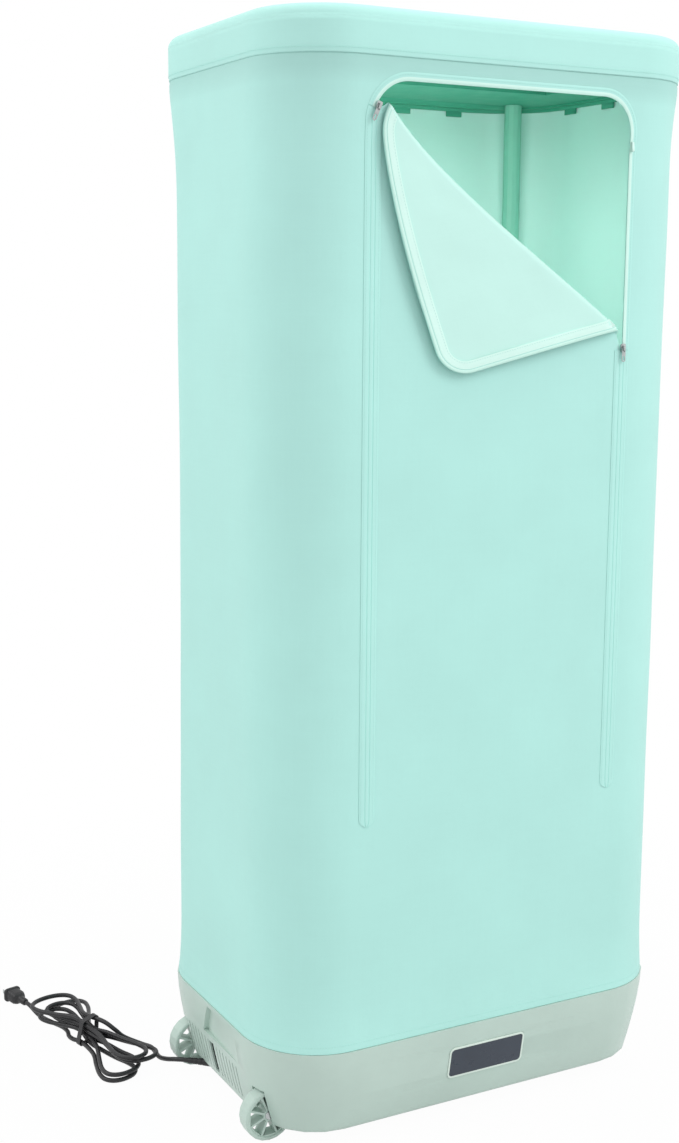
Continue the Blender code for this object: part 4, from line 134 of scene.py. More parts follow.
def add(tree, kind, values=None, **settings):
    """Add a node, with its settings and the values or links of its inputs."""
    node = tree.nodes.new(kind)
    for key, value in settings.items():
        setattr(node, key, value)
    for socket, value in (values or {}).items():
        if isinstance(value, bpy.types.NodeSocket):
            tree.links.new(value, node.inputs[socket])
        else:
            node.inputs[socket].default_value = value
    return node


def computed(tree, operation, *values):
    """Result of a math node, from numbers and other nodes' outputs."""
    return add(tree, "ShaderNodeMath", dict(enumerate(values)), operation=operation).outputs["Value"]


def new_material(name, colour, roughness, values=None):
    """A material whose even values are on its shader's own sockets."""
    material = bpy.data.materials.new(name)
    material.use_nodes = True
    tree = material.node_tree
    shader = tree.nodes["Principled BSDF"]
    shader.inputs["Base Color"].default_value = (*colour, 1)
    shader.inputs["Roughness"].default_value = roughness
    for socket, value in (values or {}).items():
        shader.inputs[socket].default_value = value
    return material, tree, shader


def shades(tree, shader, factor, dark, light):
    """Mix two shades into the base colour by a factor."""
    mix = add(tree, "ShaderNodeMix", {"Factor": factor}, data_type="RGBA")
    mix.inputs["A"].default_value = (*dark, 1)
    mix.inputs["B"].default_value = (*light, 1)
    tree.links.new(mix.outputs["Result"], shader.inputs["Base Color"])
    return mix


def scaled(colour, share):
    return tuple(min(1, value * share) for value in colour)


def relief(tree, shader, heights):
    """Chain bumps, each of a height and a depth in metres, into the shader's normal."""
    normal = None
    for height, depth in heights:
        bump = add(tree, "ShaderNodeBump", {"Strength": 1, "Distance": depth, "Height": height})
        if normal:
            tree.links.new(normal, bump.inputs["Normal"])
        normal = bump.outputs["Normal"]
    tree.links.new(normal, shader.inputs["Normal"])


def noise_of(tree, vector, scale, detail=3, roughness=0.5):
    return add(tree, "ShaderNodeTexNoise", {"Vector": vector, "Scale": scale, "Detail": detail,
                                            "Roughness": roughness}).outputs["Fac"]


def ranged(tree, value, low, high, bottom, top):
    node = add(tree, "ShaderNodeMapRange", {"Value": value, "From Min": low, "From Max": high,
                                            "To Min": bottom, "To Max": top})
    return node.outputs["Result"]


def moulded(name, colour, roughness, grain=900, depth=0.00002, values=None):
    """Moulded plastic or rubber: a fine spark-eroded grain, soft mottling and faint rubbed patches."""
    material, tree, shader = new_material(name, colour, roughness, values)
    place = add(tree, "ShaderNodeTexCoord").outputs["Object"]
    mottle = noise_of(tree, place, 9, 5, 0.6)
    shades(tree, shader, ranged(tree, mottle, 0.35, 0.65, 0, 1), scaled(colour, 0.965), scaled(colour, 1.02))
    rubbed = noise_of(tree, place, 38, 4, 0.7)
    tree.links.new(ranged(tree, rubbed, 0.3, 0.75, roughness * 0.88, min(1, roughness * 1.16)),
                   shader.inputs["Roughness"])
    ripple = noise_of(tree, place, 14, 2)
    relief(tree, shader, [(ripple, depth * 8), (noise_of(tree, place, grain, 2), depth)])
    return material


def woven(name, colour, pitch, depth, values=None, contrast=0.05, drawn=False):
    """Plain weave on the piece's own map, with thicker threads here and there.

    With drawn set, painted shade darkens the cloth in the last 34 mm below the crease."""
    material, tree, shader = new_material(name, colour, 0.72, values)
    place = add(tree, "ShaderNodeUVMap", uv_map=CLOTH_MAP).outputs["UV"]
    waves = []
    for direction, slub in (("X", (6, 260, 1)), ("Y", (260, 6, 1))):
        wave = add(tree, "ShaderNodeTexWave", {"Vector": place, "Scale": THREAD_WAVE / pitch, "Distortion": 0.4,
                                               "Detail": 1}, bands_direction=direction)
        stretch = add(tree, "ShaderNodeMapping", {"Vector": place, "Scale": slub})
        thick = noise_of(tree, stretch.outputs["Vector"], 1, 3, 0.6)
        waves.append(computed(tree, "MULTIPLY", wave.outputs["Fac"], ranged(tree, thick, 0.3, 0.7, 0.6, 1.1)))
    weave = computed(tree, "MAXIMUM", *waves)
    cloud = noise_of(tree, place, 5, 4, 0.55)
    shade = ranged(tree, computed(tree, "MULTIPLY_ADD", weave, 0.35, cloud), 0.35, 1.0, 0, 1)
    # Painted shade: the weave's tone grows darker over the last 34 mm below the crease, standing in for the shade
    # below the lid.
    if drawn:
        height = add(tree, "ShaderNodeSeparateXYZ", {"Vector": place}).outputs["Y"]
        near = ranged(tree, height, CREASE - 0.034, CREASE - 0.004, 1, 0)
        shade = computed(tree, "ADD", computed(tree, "MULTIPLY", shade, near),
                         computed(tree, "MULTIPLY_ADD", near, 1.2, -1.2))
    mix = shades(tree, shader, shade, scaled(colour, 1 - contrast), scaled(colour, 1 + contrast / 2))
    mix.clamp_factor = False
    tree.links.new(ranged(tree, cloud, 0.3, 0.7, 0.66, 0.80), shader.inputs["Roughness"])
    relief(tree, shader, [(noise_of(tree, place, 26, 3), 0.0005), (weave, depth)])
    return material


def brushed(name, colour, roughness, stretch=(40, 900, 900)):
    """Metal with fine drawn lines and a few dull patches."""
    material, tree, shader = new_material(name, colour, roughness, {"Metallic": 1})
    place = add(tree, "ShaderNodeTexCoord").outputs["Object"]
    drawn = add(tree, "ShaderNodeMapping", {"Vector": place, "Scale": stretch})
    lines = noise_of(tree, drawn.outputs["Vector"], 1, 3, 0.6)
    dull = noise_of(tree, place, 120, 3)
    shades(tree, shader, ranged(tree, dull, 0.35, 0.7, 0, 1), scaled(colour, 0.86), scaled(colour, 1.05))
    tree.links.new(ranged(tree, lines, 0.25, 0.75, roughness * 0.7, roughness * 1.4), shader.inputs["Roughness"])
    relief(tree, shader, [(lines, 0.00002)])
    return material


def printed_board(name, colour):
    """A lacquered board: tracks and pads under a green mask."""
    material, tree, shader = new_material(name, colour, 0.35)
    place = add(tree, "ShaderNodeTexCoord").outputs["Object"]
    tracks = add(tree, "ShaderNodeTexBrick", {"Vector": place, "Scale": 160, "Mortar Size": 0.03})
    pads = add(tree, "ShaderNodeTexVoronoi", {"Vector": place, "Scale": 240})
    near = ranged(tree, pads.outputs["Distance"], 0.1, 0.2, 1, 0)
    mix = shades(tree, shader, near, colour, (0.55, 0.5, 0.36))
    lines = add(tree, "ShaderNodeMix", {"Factor": tracks.outputs["Fac"], "B": (*scaled(colour, 1.8), 1)},
                data_type="RGBA")
    tree.links.new(mix.outputs["Result"], lines.inputs["A"])
    tree.links.new(lines.outputs["Result"], shader.inputs["Base Color"])
    relief(tree, shader, [(tracks.outputs["Fac"], 0.00006)])
    return material


def panel_glass(name, colour):
    """The dark window of the control panel: smooth, with faint smears and a display field behind it."""
    gloss = {"Specular IOR Level": 0.25, "Coat Weight": 0.08, "Coat Roughness": 0.1}
    material, tree, shader = new_material(name, colour, 0.30, gloss)
    place = add(tree, "ShaderNodeTexCoord").outputs["Object"]
    smear = noise_of(tree, place, 30, 5, 0.65)
    tree.links.new(ranged(tree, smear, 0.3, 0.7, 0.24, 0.36), shader.inputs["Roughness"])
    cloud = noise_of(tree, place, 12, 2)
    shades(tree, shader, ranged(tree, cloud, 0.3, 0.7, 0, 1), scaled(colour, 0.9), scaled(colour, 1.12))
    relief(tree, shader, [(noise_of(tree, place, 60, 2), 0.00001)])
    return material


MATERIALS = {}


def make_materials(colours):
    """Every finish, by the name that the pieces below use."""
    cloth = {"Sheen Weight": 0.12, "Sheen Roughness": 0.5, "Specular IOR Level": 0.3}
    MATERIALS.update({
        "shell": moulded("shell_plastic", colours.shell[:], 0.38),
        # The cover's fabric carries painted shade below the crease.
        "cover": woven("cover_fabric", colours.cover[:], 0.0009, 0.00008, cloth, 0.06, True),
        "lining": woven("cover_lining", colours.lining[:], 0.0009, 0.00006, cloth),
        "tape": woven("zip_tape", colours.tape[:], 0.0011, 0.00012, cloth, 0.08),
        "band": woven("zip_band", scaled(colours.cover[:], 1.03), 0.0011, 0.00010, cloth, 0.06),
        "thread": woven("sewing_thread", colours.thread[:], 0.0006, 0.00004, cloth),
        "teeth": moulded("zip_teeth", colours.tape[:], 0.30, 2000),
        # The ceiling's dark green is painted shade: a darker copy of the pale green plastic, for the shade under
        # the lid.
        "ceiling": moulded("ceiling_plastic", colours.ceiling[:], 0.55),
        "post": moulded("post_plastic", colours.post[:], 0.50, 1400),
        "dark": moulded("dark_plastic", (0.055, 0.058, 0.062), 0.5),
        "steel": brushed("steel", (0.50, 0.53, 0.53), 0.30),
        "cord": moulded("cord_rubber", colours.cord[:], 0.42, 1600, 0.00003, {"Specular IOR Level": 0.45}),
        "foot": moulded("foot_rubber", (0.08, 0.082, 0.085), 0.75, 1200),
        "bezel": moulded("bezel_plastic", colours.bezel[:], 0.30),
        "glass": panel_glass("display_glass", colours.glass[:]),
        "board": printed_board("circuit_board", (0.03, 0.15, 0.06)),
        "ceramic": brushed("heater_fins", (0.6, 0.58, 0.55), 0.45),
    })


def dress(finish, *nodes):
    """Give nodes of the model their finish."""
    for node in nodes:
        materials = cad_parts[node].data.materials
        materials.clear()
        materials.append(MATERIALS[finish])


# Shapes shared by the fabric pieces

FRONT_DEPTH = HALF_DEPTH - COVER_INSET
MIDDLE_RADIUS = HALF_WIDTH - COVER_INSET - HALF_FLAT
CORNER_RUN = MIDDLE_RADIUS * pi / 2
SIDE_RUN = 2 * (FRONT_DEPTH - MIDDLE_RADIUS)
HALF_ROUND = 2 * HALF_FLAT + 2 * CORNER_RUN + SIDE_RUN


def eased(share):
    share = max(0.0, min(1.0, share))
    return share * share * (3 - 2 * share)


def cover_insets(z):
    """How far the cover stands inside the base's outline at a height, on its sides and its front."""
    foot = (1 - max(0, min(1, (z - SEAM) / FOOT_FLARE))) ** 2
    head = (1 - max(0, min(1, (CREASE - z) / TOP_FLARE))) ** 2
    inset = COVER_INSET - (COVER_INSET - SEAM_INSET) * foot
    return (inset - (COVER_INSET + LID_HALF_WIDTH - HALF_WIDTH) * head,
            inset - (COVER_INSET + LID_HALF_DEPTH - HALF_DEPTH) * head)


def cover_front_y(z):
    return HALF_DEPTH - cover_insets(z)[1]


def round_place(run, z):
    """Place and outward direction on the cover, from the way round it and the height.

    The way round starts at the middle of the front and is positive to the right."""
    inset_x, inset_y = cover_insets(z)
    half_x, half_y = HALF_WIDTH - inset_x, HALF_DEPTH - inset_y
    radius = half_x - HALF_FLAT
    side = 1 if run >= 0 else -1
    rest = abs(run)
    if rest <= HALF_FLAT:
        return Vector((run, -half_y, z)), Vector((0, -1, 0))
    rest -= HALF_FLAT
    if rest <= CORNER_RUN:
        angle = rest / CORNER_RUN * pi / 2 - pi / 2
        out = Vector((side * cos(angle), sin(angle), 0))
        return Vector((side * HALF_FLAT, radius - half_y, z)) + out * radius, out
    rest -= CORNER_RUN
    if rest <= SIDE_RUN:
        y = (half_y - radius) * (2 * rest / SIDE_RUN - 1)
        return Vector((side * half_x, y, z)), Vector((side, 0, 0))
    rest -= SIDE_RUN
    if rest <= CORNER_RUN:
        angle = rest / CORNER_RUN * pi / 2
        out = Vector((side * cos(angle), sin(angle), 0))
        return Vector((side * HALF_FLAT, half_y - radius, z)) + out * radius, out
    return Vector((side * (HALF_FLAT - (rest - CORNER_RUN)), half_y, z)), Vector((0, 1, 0))


def far_from_door(x, z, reach):
    """0 on the zip's track and 1 beyond a reach from it."""
    across = abs(abs(x) - DOOR_HALF) if z < DOOR_TOP - DOOR_CORNER else 1
    top = abs(z - DOOR_TOP) if abs(x) < DOOR_HALF - DOOR_CORNER else 1
    corner = abs(Vector((abs(x) - DOOR_HALF + DOOR_CORNER, z - DOOR_TOP + DOOR_CORNER)).length - DOOR_CORNER)
    if z < DOOR_BOTTOM:
        across = Vector((abs(x) - DOOR_HALF, z - DOOR_BOTTOM)).length
    if abs(x) < DOOR_HALF - DOOR_CORNER or z < DOOR_TOP - DOOR_CORNER:
        corner = 1
    return eased((min(across, top, corner) - TAPE_HALF) / reach)


def slack(run, z, softness):
    """How far the loose cloth stands off its smooth shape: slow swells, and short folds at its ends."""
    swell = SWELL * noise.noise(Vector((run * 4.2, z * 2.1, 3.7)))
    swell += RIPPLE * noise.noise(Vector((run * 11, z * 6, 9.1)))
    drawn = 0.5 + 0.5 * noise.noise(Vector((run * 6, 0.4, z * 2)))
    head = exp(-(CREASE - z) / 0.045) * HEAD_FOLD
    foot = exp(-(z - SEAM) / 0.030) * FOOT_FOLD
    folds = (head * sin(run * 120 + 3 * sin(run * 9)) + foot * sin(run * 160 + 2 * sin(run * 13))) * drawn
    ends = eased(min(CREASE - z, z - SEAM) / 0.02)
    near = far_from_door(run, z, 0.03) if abs(run) < HALF_FLAT + 0.05 else 1
    tuck = CREASE_TUCK * exp(-(max(0, CREASE - z) / 0.008) ** 2)
    tuck += CREASE_DROP * eased((z - CREASE + 0.001) / 0.002)
    rear = eased((abs(run) - HALF_FLAT - CORNER_RUN) / SIDE_RUN)
    drawn_in = REAR_DRAW * rear * eased((CREASE - z) / 0.16) * eased((z - SEAM) / 0.75)
    sewn = eased((HALF_ROUND - abs(run)) / 0.06)
    return softness * ends * sewn * (near * swell + (0.25 + 0.75 * near) * folds) - tuck - drawn_in


def arc_points(middle_x, middle_z, radius, first, last, steps):
    return [(middle_x + radius * cos(first + (last - first) * k / steps),
             middle_z + radius * sin(first + (last - first) * k / steps)) for k in range(steps + 1)]


def door_outline(border, bottom, pitch=0.008):
    """The door's outline, widened by a border, with points at an even pitch."""
    half, radius = DOOR_HALF + border, DOOR_CORNER + border
    low = DOOR_TOP - DOOR_CORNER
    rows = int((low - bottom) / pitch)
    columns = int(2 * (half - radius) / pitch)
    points = [(-half + 2 * half * k / 50, bottom) for k in range(50)]
    points += [(half, bottom + (low - bottom) * k / rows) for k in range(rows)]
    points += arc_points(half - radius, low, radius, 0, pi / 2, 12)
    points += [((half - radius) * (1 - 2 * k / columns), low + radius) for k in range(1, columns)]
    points += arc_points(radius - half, low, radius, pi / 2, pi, 12)
    points += [(-half, low - (low - bottom) * k / rows) for k in range(1, rows)]
    return points


def inside(outline, x, z):
    """Whether a point lies inside an outline."""
    hit = False
    for (x1, z1), (x2, z2) in zip(outline, outline[1:] + outline[:1]):
        if (z1 > z) != (z2 > z) and x < x1 + (z - z1) * (x2 - x1) / (z2 - z1):
            hit = not hit
    return hit


def cut_cloth(outline, holes, filling):
    """Triangles of a flat cut of cloth: its outline, its holes and the points that fill it."""
    points, edges = [], []
    for ring in (outline, *holes):
        first = len(points)
        points += ring
        edges += [(first + k, first + (k + 1) % len(ring)) for k in range(len(ring))]
    points += filling
    result = delaunay_2d_cdt([Vector(point) for point in points], edges, [], 0, 1e-6)
    flat, faces = result[0], result[2]
    kept = []
    for face in faces:
        middle = sum((flat[k] for k in face), Vector((0, 0))) / len(face)
        if any(inside(hole, *middle) for hole in holes) or not inside(outline, *middle):
            continue
        a, b, c = (flat[k] for k in face[:3])
        turn = (b - a).cross(c - a)
        if abs(turn) > 1e-12:
            kept.append(tuple(face) if turn > 0 else tuple(reversed(face)))
    return flat, kept


def cloth_shape():
    """An empty shape with the flat cloth's map."""
    shape = bmesh.new()
    return shape, shape.loops.layers.uv.new(CLOTH_MAP)


def mapped_face(shape, layer, verts, places, slot=0):
    """A smooth face whose corners have places on the cloth's map."""
    made = shape.faces.new(verts)
    made.material_index = slot
    made.smooth = True
    for loop, place in zip(made.loops, places):
        loop[layer].uv = place


def quad_places(left, right, low, high):
    return (left, low), (right, low), (right, high), (left, high)


def two_layers(name, flat, faces, place, materials, joined=False):
    """A piece of cloth with its outer face, its inner face and the edges between them."""
    shape, layer = cloth_shape()
    used = sorted({k for face in faces for k in face})
    outer = {k: shape.verts.new(place(flat[k].x, flat[k].y, 0)) for k in used}
    inner = {k: shape.verts.new(place(flat[k].x, flat[k].y, -FABRIC)) for k in used}
    sides = {}

    def sewn(key):
        return joined and abs(abs(flat[key].x) - HALF_ROUND) < 1e-5

    for keys in faces:
        mapped_face(shape, layer, [outer[k] for k in keys], [flat[k] for k in keys])
        mapped_face(shape, layer, [inner[k] for k in keys[::-1]], [flat[k] for k in keys[::-1]], 1)
        sides.update({pair: True for pair in zip(keys, keys[1:] + keys[:1])})
    for one, two in sides:
        if (two, one) not in sides and not (sewn(one) and sewn(two)):
            mapped_face(shape, layer, [outer[two], outer[one], inner[one], inner[two]],
                        [flat[two], flat[one], flat[one], flat[two]])
    if joined:
        bmesh.ops.remove_doubles(shape, verts=shape.verts, dist=0.0001)
    item = mesh_object(name, shape, materials)
    item.data.set_sharp_from_angle(angle=radians(60))
    return item


def new_object(name, data):
    item = bpy.data.objects.new(name, data)
    bpy.context.scene.collection.objects.link(item)
    return item


def mesh_object(name, shape, materials, body=CABINET):
    """Turn a bmesh into a piece that rides on a body."""
    mesh = bpy.data.meshes.new(name)
    shape.to_mesh(mesh)
    shape.free()
    for key in materials:
        mesh.materials.append(MATERIALS[key])
    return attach(new_object(name, mesh), body)


def grid_points(x_low, x_high, z_low, z_high, pitch):
    columns = max(1, round((x_high - x_low) / pitch))
    rows = max(1, round((z_high - z_low) / pitch))
    return [(x_low + (x_high - x_low) * i / columns, z_low + (z_high - z_low) * k / rows)
            for k in range(1, rows) for i in range(1, columns)]


# The cover

def make_cover(softness, pitch):
    """The cover's walls in one piece, with the door's opening and its seam at the back."""
    half = HALF_ROUND
    low, high = SEAM + 0.0006, CREASE + 0.004
    columns, rows = round(2 * half / pitch), round((high - low) / pitch)
    outline = [(-half + 2 * half * k / columns, low) for k in range(columns)]
    outline += [(half, low + (high - low) * k / rows) for k in range(rows)]
    outline += [(half - 2 * half * k / columns, high) for k in range(columns)]
    outline += [(-half, high - (high - low) * k / rows) for k in range(rows)]
    hole = door_outline(DOOR_SLIT / 2, DOOR_BOTTOM)
    margin = door_outline(0.005, DOOR_BOTTOM - 0.005)
    filling = [point for point in grid_points(-half, half, low, high, pitch)
               if abs(point[0]) > 0.21 or point[1] < DOOR_BOTTOM - 0.006 or not inside(margin, *point)]
    flat, faces = cut_cloth(outline, [hole], filling)

    def place(run, z, out):
        spot, away = round_place(run, z)
        return spot + away * (out + slack(run, z, softness))

    cover = two_layers("cover_walls", flat, faces, place, ["cover", "lining"], joined=True)
    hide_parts("cover_front", "cover_left", "cover_right", "cover_back")


def ring_outline(inset, half_depth, steps=14):
    """A rounded rectangle, anticlockwise from above."""
    radius = LID_CORNER - inset
    points = []
    for k, (x, y) in enumerate(((1, -1), (1, 1), (-1, 1), (-1, -1))):
        for step in range(steps + 1):
            angle = (k - 1 + step / steps) * pi / 2
            points.append((x * HALF_FLAT + radius * cos(angle),
                           y * (half_depth - LID_CORNER) + radius * sin(angle)))
        ahead = ((1, 1), (-1, 1), (-1, -1), (1, -1))[k]
        start, end = points[-1], (ahead[0] * HALF_FLAT + radius * cos(k * pi / 2),
                                  ahead[1] * (half_depth - LID_CORNER) + radius * sin(k * pi / 2))
        pieces = 30 if k % 2 else 16
        points += [(start[0] + (end[0] - start[0]) * j / pieces, start[1] + (end[1] - start[1]) * j / pieces)
                   for j in range(1, pieces)]
    return points


def lid_rows():
    """The lid's rows from its foot to its middle: how far inside its outline, and the height."""
    rows = [(0.0011, CREASE + 0.0002), (0.0009, CREASE + 0.0020), (0.0006, CREASE + 0.0045),
            (0.0002, CREASE + 0.007), (0.0, CREASE + 0.010)]
    rows += [(0.0, CREASE + 0.010 + 0.034 * k / 6) for k in range(1, 7)]
    for step in range(10):
        angle = step / 9 * pi / 2
        rows.append((LID_ROLL * (1 - cos(angle)), HEIGHT - LID_ROLL * (1 - sin(angle))))
    return rows + [(LID_ROLL + 0.088 * k / 8, HEIGHT) for k in range(1, 9)]


def lid_skin(name, rows, softness, thickness, materials):
    """One skin of the lid, from its rows: a band, a rolled edge and a flat top."""
    shape, layer = cloth_shape()
    rings = []
    for inset, z in rows:
        ring = []
        for x, y in ring_outline(inset, LID_HALF_DEPTH):
            puff = LID_PUFF * noise.noise(Vector((x * 7, y * 7, z * 9))) * softness
            flat = eased((inset - LID_ROLL) / 0.05)
            lift = -LID_DIP * flat * (0.6 + noise.noise(Vector((x * 5, y * 5, 2))))
            ring.append(shape.verts.new((x * (1 + puff), y * (1 + puff), z + lift * softness)))
        rings.append(ring)
    around, up = [0.0], [0.0]
    for one, two in zip(rings[4], rings[4][1:] + rings[4][:1]):
        around.append(around[-1] + (two.co - one.co).length)
    for (i1, z1), (i2, z2) in zip(rows, rows[1:]):
        up.append(up[-1] + sqrt((i2 - i1) ** 2 + (z2 - z1) ** 2))
    for level, (lower, upper) in enumerate(zip(rings, rings[1:])):
        for i in range(len(lower)):
            j = (i + 1) % len(lower)
            mapped_face(shape, layer, (lower[i], lower[j], upper[j], upper[i]),
                        quad_places(around[i], around[i + 1], up[level], up[level + 1]))
    cap = shape.faces.new(rings[-1])
    cap.smooth = True
    for loop in cap.loops:
        loop[layer].uv = loop.vert.co.xy
    bmesh.ops.triangulate(shape, faces=[cap])
    skin = mesh_object(name, shape, materials)
    wall = skin.modifiers.new("thickness", "SOLIDIFY")
    wall.thickness = thickness
    wall.offset = -1
    wall.material_offset = len(materials) - 1
    return skin


def make_lid(softness):
    """The lid's fabric over its plastic shell."""
    rows = lid_rows()
    lid = lid_skin("lid_cover", rows, softness, FABRIC, ["cover", "lining"])
    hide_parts("cover_top")
    lid_area(rows)
    inside_rows = [(inset + FABRIC + 0.0004, z - (FABRIC + 0.0004 if z > HEIGHT - LID_ROLL else 0))
                   for inset, z in rows]
    # The lid's frame takes the ceiling finish, whose dark green is painted shade.
    shell = lid_skin("lid_frame", inside_rows, 0, 0.0015, ["ceiling"])
    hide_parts("lid_shell")


def lid_area(rows):
    """Flat area of the lid's fabric, from its rows."""
    total = 0
    for (i1, z1), (i2, z2) in zip(rows, rows[1:]):
        one, two = ring_outline(i1, LID_HALF_DEPTH), ring_outline(i2, LID_HALF_DEPTH)
        length = sum((Vector(a) - Vector(b)).length + (Vector(c) - Vector(d)).length
                     for a, b, c, d in zip(one, one[1:] + one[:1], two, two[1:] + two[:1])) / 2
        total += length * sqrt((i2 - i1) ** 2 + (z2 - z1) ** 2)
    last = ring_outline(rows[-1][0], LID_HALF_DEPTH)
    return total + abs(sum(a[0] * b[1] - b[0] * a[1] for a, b in zip(last, last[1:] + last[:1]))) / 2


# The door with its corner folded down

def fold_line():
    """Start, direction and length of the line that the door is folded along, from left to right."""
    radius = DOOR_CORNER - DOOR_SLIT / 2
    start = Vector((DOOR_CORNER - DOOR_HALF + radius * cos(FOLD_START_ANGLE),
                    DOOR_TOP - DOOR_CORNER + radius * sin(FOLD_START_ANGLE)))
    run = Vector((DOOR_HALF - DOOR_SLIT / 2, FOLD_END_Z)) - start
    return start, run.normalized(), run.length


def lay_on_front(x, z, out):
    return Vector((x, -(cover_front_y(z) + out), z))


def fold_door(x, z, out, softness=0.0):
    """Roll what lies above the fold line outwards and down over the front of the door."""
    start, along, length = fold_line()
    up = Vector((-along.y, along.x))
    offset = Vector((x, z)) - start
    run, rise = offset.dot(along), offset.dot(up)
    share = max(0.0, min(1.0, run / length))
    sag = FOLD_SAG * sin(pi * share ** FOLD_SKEW_SHARE)
    radius = FOLD_END_RADIUS + (FOLD_RADIUS - FOLD_END_RADIUS) * sqrt(4 * share * (1 - share))
    past = rise + sag
    draw = max(0.0, min(1.0, past / FOLD_DRAW_LEAD + 1))
    run += (1 - 2 * share) * FOLD_DRAW * draw * draw * (3 - 2 * draw)
    lift = out
    if past > pi * radius:
        reach = (past - pi * radius) * FLAP_REACH_SHARE
        rise = -sag - reach
        lean = FLAP_LEAN_SHARE * min(1, reach / FLAP_LEAN_RUN)
        lift = 2 * radius * (1 - lean) - out
        wave = noise.noise(Vector((x * 12, z * 9, 1.7))) + 0.5 * noise.noise(Vector((x * 26, z * 19, 5.2)))
        lift += softness * FLAP_WAVE * eased(reach / 0.03) * eased(share / 0.1) * eased((1 - share) / 0.1) * wave
    elif past > 0:
        rise = (radius - out) * sin(past / radius) - sag
        lift = radius - (radius - out) * cos(past / radius)
    place = start + along * run + up * rise
    return lay_on_front(place.x, place.y, lift)


def make_door(softness, pitch):
    """The door in one sheet, its corner rolled over and hanging down with the lining outwards."""
    outline = door_outline(-DOOR_SLIT / 2, DOOR_BOTTOM)
    margin = door_outline(-0.005, DOOR_BOTTOM + 0.005)
    start, along, length = fold_line()
    up = Vector((-along.y, along.x))
    low, high = -FOLD_SAG - FOLD_DRAW_LEAD, pi * FOLD_RADIUS + 0.002
    filling = []
    for x, z in grid_points(-DOOR_HALF, DOOR_HALF, DOOR_BOTTOM, DOOR_TOP, pitch):
        rise = (Vector((x, z)) - start).dot(up)
        if inside(margin, x, z) and not low - 0.002 < rise < high + 0.002:
            filling.append((x, z))
    rows, columns = 30, int(length / 0.006)
    for row in range(rows + 1):
        for column in range(-4, columns + 5):
            point = start + along * (length * column / columns) + up * (low + (high - low) * row / rows)
            if inside(margin, point.x, point.y):
                filling.append((point.x, point.y))
    flat, faces = cut_cloth(outline, [], filling)

    def place(x, z, out):
        spot = fold_door(x, z, out, softness)
        rise = (Vector((x, z)) - start).dot(up)
        loose = slack(x, z, softness) * eased((low - rise) / 0.03)
        return spot - Vector((0, loose, 0))

    door = two_layers("door_cloth", flat, faces, place, ["cover", "lining"])
    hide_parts("door_flap")


# Strips carried along a line

def swept(name, stations, profile, place, materials, second=()):
    """Carry a closed section of (across, out) points along stations of the zip's track.

    The sides of the section that second lists get the second material."""
    shape, layer = cloth_shape()
    rings, along, spots = [], 0.0, []
    for x, z, angle, width in stations:
        if spots:
            along += (Vector((x, z)) - spots[-1]).length
        spots.append(Vector((x, z)))
        ring = [shape.verts.new(place(x + across * width * cos(angle), z + across * width * sin(angle), out))
                for across, out in profile]
        rings.append((along, ring))
    count = len(profile)
    for (far1, one), (far2, two) in zip(rings, rings[1:]):
        for i in range(count):
            j = (i + 1) % count
            near, far = profile[i][0], profile[j][0]
            mapped_face(shape, layer, (one[i], one[j], two[j], two[i]),
                        ((far1, near), (far1, far), (far2, far), (far2, near)), int(i in second))
    for ring in (rings[0][1], rings[-1][1]):
        made = shape.faces.new(ring)
        for loop, (across, out) in zip(made.loops, profile):
            loop[layer].uv = (out, across)
    bmesh.ops.recalc_face_normals(shape, faces=shape.faces)
    item = mesh_object(name, shape, materials)
    item.data.set_sharp_from_angle(angle=radians(35))
    return item


def track_arc(side, first, last, steps=12):
    """Stations round a top corner of the zip's track: place, direction outwards and width share."""
    stations = []
    for step in range(steps + 1):
        angle = first + (last - first) * step / steps
        stations.append((side * (DOOR_HALF - DOOR_CORNER) + DOOR_CORNER * cos(angle),
                         DOOR_TOP - DOOR_CORNER + DOOR_CORNER * sin(angle), angle, 1))
    return stations


def track_top(steps=50):
    half = DOOR_HALF - DOOR_CORNER
    return [(half * (2 * k / steps - 1), DOOR_TOP, pi / 2, 1) for k in range(1, steps)]


def track_side(side, low, high, pitch=0.007):
    """Stations up a straight side, from a low to a high end."""
    steps = max(1, int((high - low) / pitch))
    return [(side * DOOR_HALF, low + (high - low) * k / steps, 0 if side > 0 else pi, 1)
            for k in range(steps + 1)]


def track_foot(side):
    """Stations of the round lower end of a closed stretch."""
    turns = [step / 10.5 * pi / 2 for step in range(10, 0, -1)]
    return [(side * DOOR_HALF, DOOR_BOTTOM - TAPE_HALF * sin(turn), 0 if side > 0 else pi, cos(turn))
            for turn in turns]


def band_profile():
    """Section of a closed stretch of zip: a covered row of teeth between two grooves, and its edges."""
    half = [(0.0012, BAND_TOP + 0.0002), (0.0024, BAND_TOP), (0.0029, BAND_TOP - 0.0006),
            (0.0035, BAND_TOP - 0.0006), (0.0040, BAND_TOP), (0.0082, BAND_TOP + 0.0001),
            (0.0108, BAND_TOP - 0.0001), (0.0118, BAND_TOP - 0.0004), (TAPE_HALF, BAND_LOW)]
    return half[::-1] + [(-across, out) for across, out in half]


def left_band_stations():
    stations = track_foot(-1) + track_side(-1, DOOR_BOTTOM, DOOR_TOP - DOOR_CORNER)
    return stations + track_arc(-1, pi, LEFT_TAPE_ANGLE, 6)[1:]


def right_band_stations():
    return track_foot(1) + track_side(1, DOOR_BOTTOM, RIGHT_TAPE_TOP)


def make_zip_bands():
    """The two closed stretches of the zip, each with a round lower end."""
    for side, stations in (("left", left_band_stations()), ("right", right_band_stations())):
        band = swept(f"zip_band_{side}", stations, band_profile(), lay_on_front, ["band"])
        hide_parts(f"zip_{side}")


def frame_tape_stations():
    stations = track_arc(-1, LEFT_TAPE_ANGLE - TAPE_GAP / DOOR_CORNER, pi / 2) + track_top()
    stations += track_arc(1, pi / 2, 0)
    return stations + track_side(1, RIGHT_TAPE_TOP + TAPE_GAP, DOOR_TOP - DOOR_CORNER)[-2::-1]


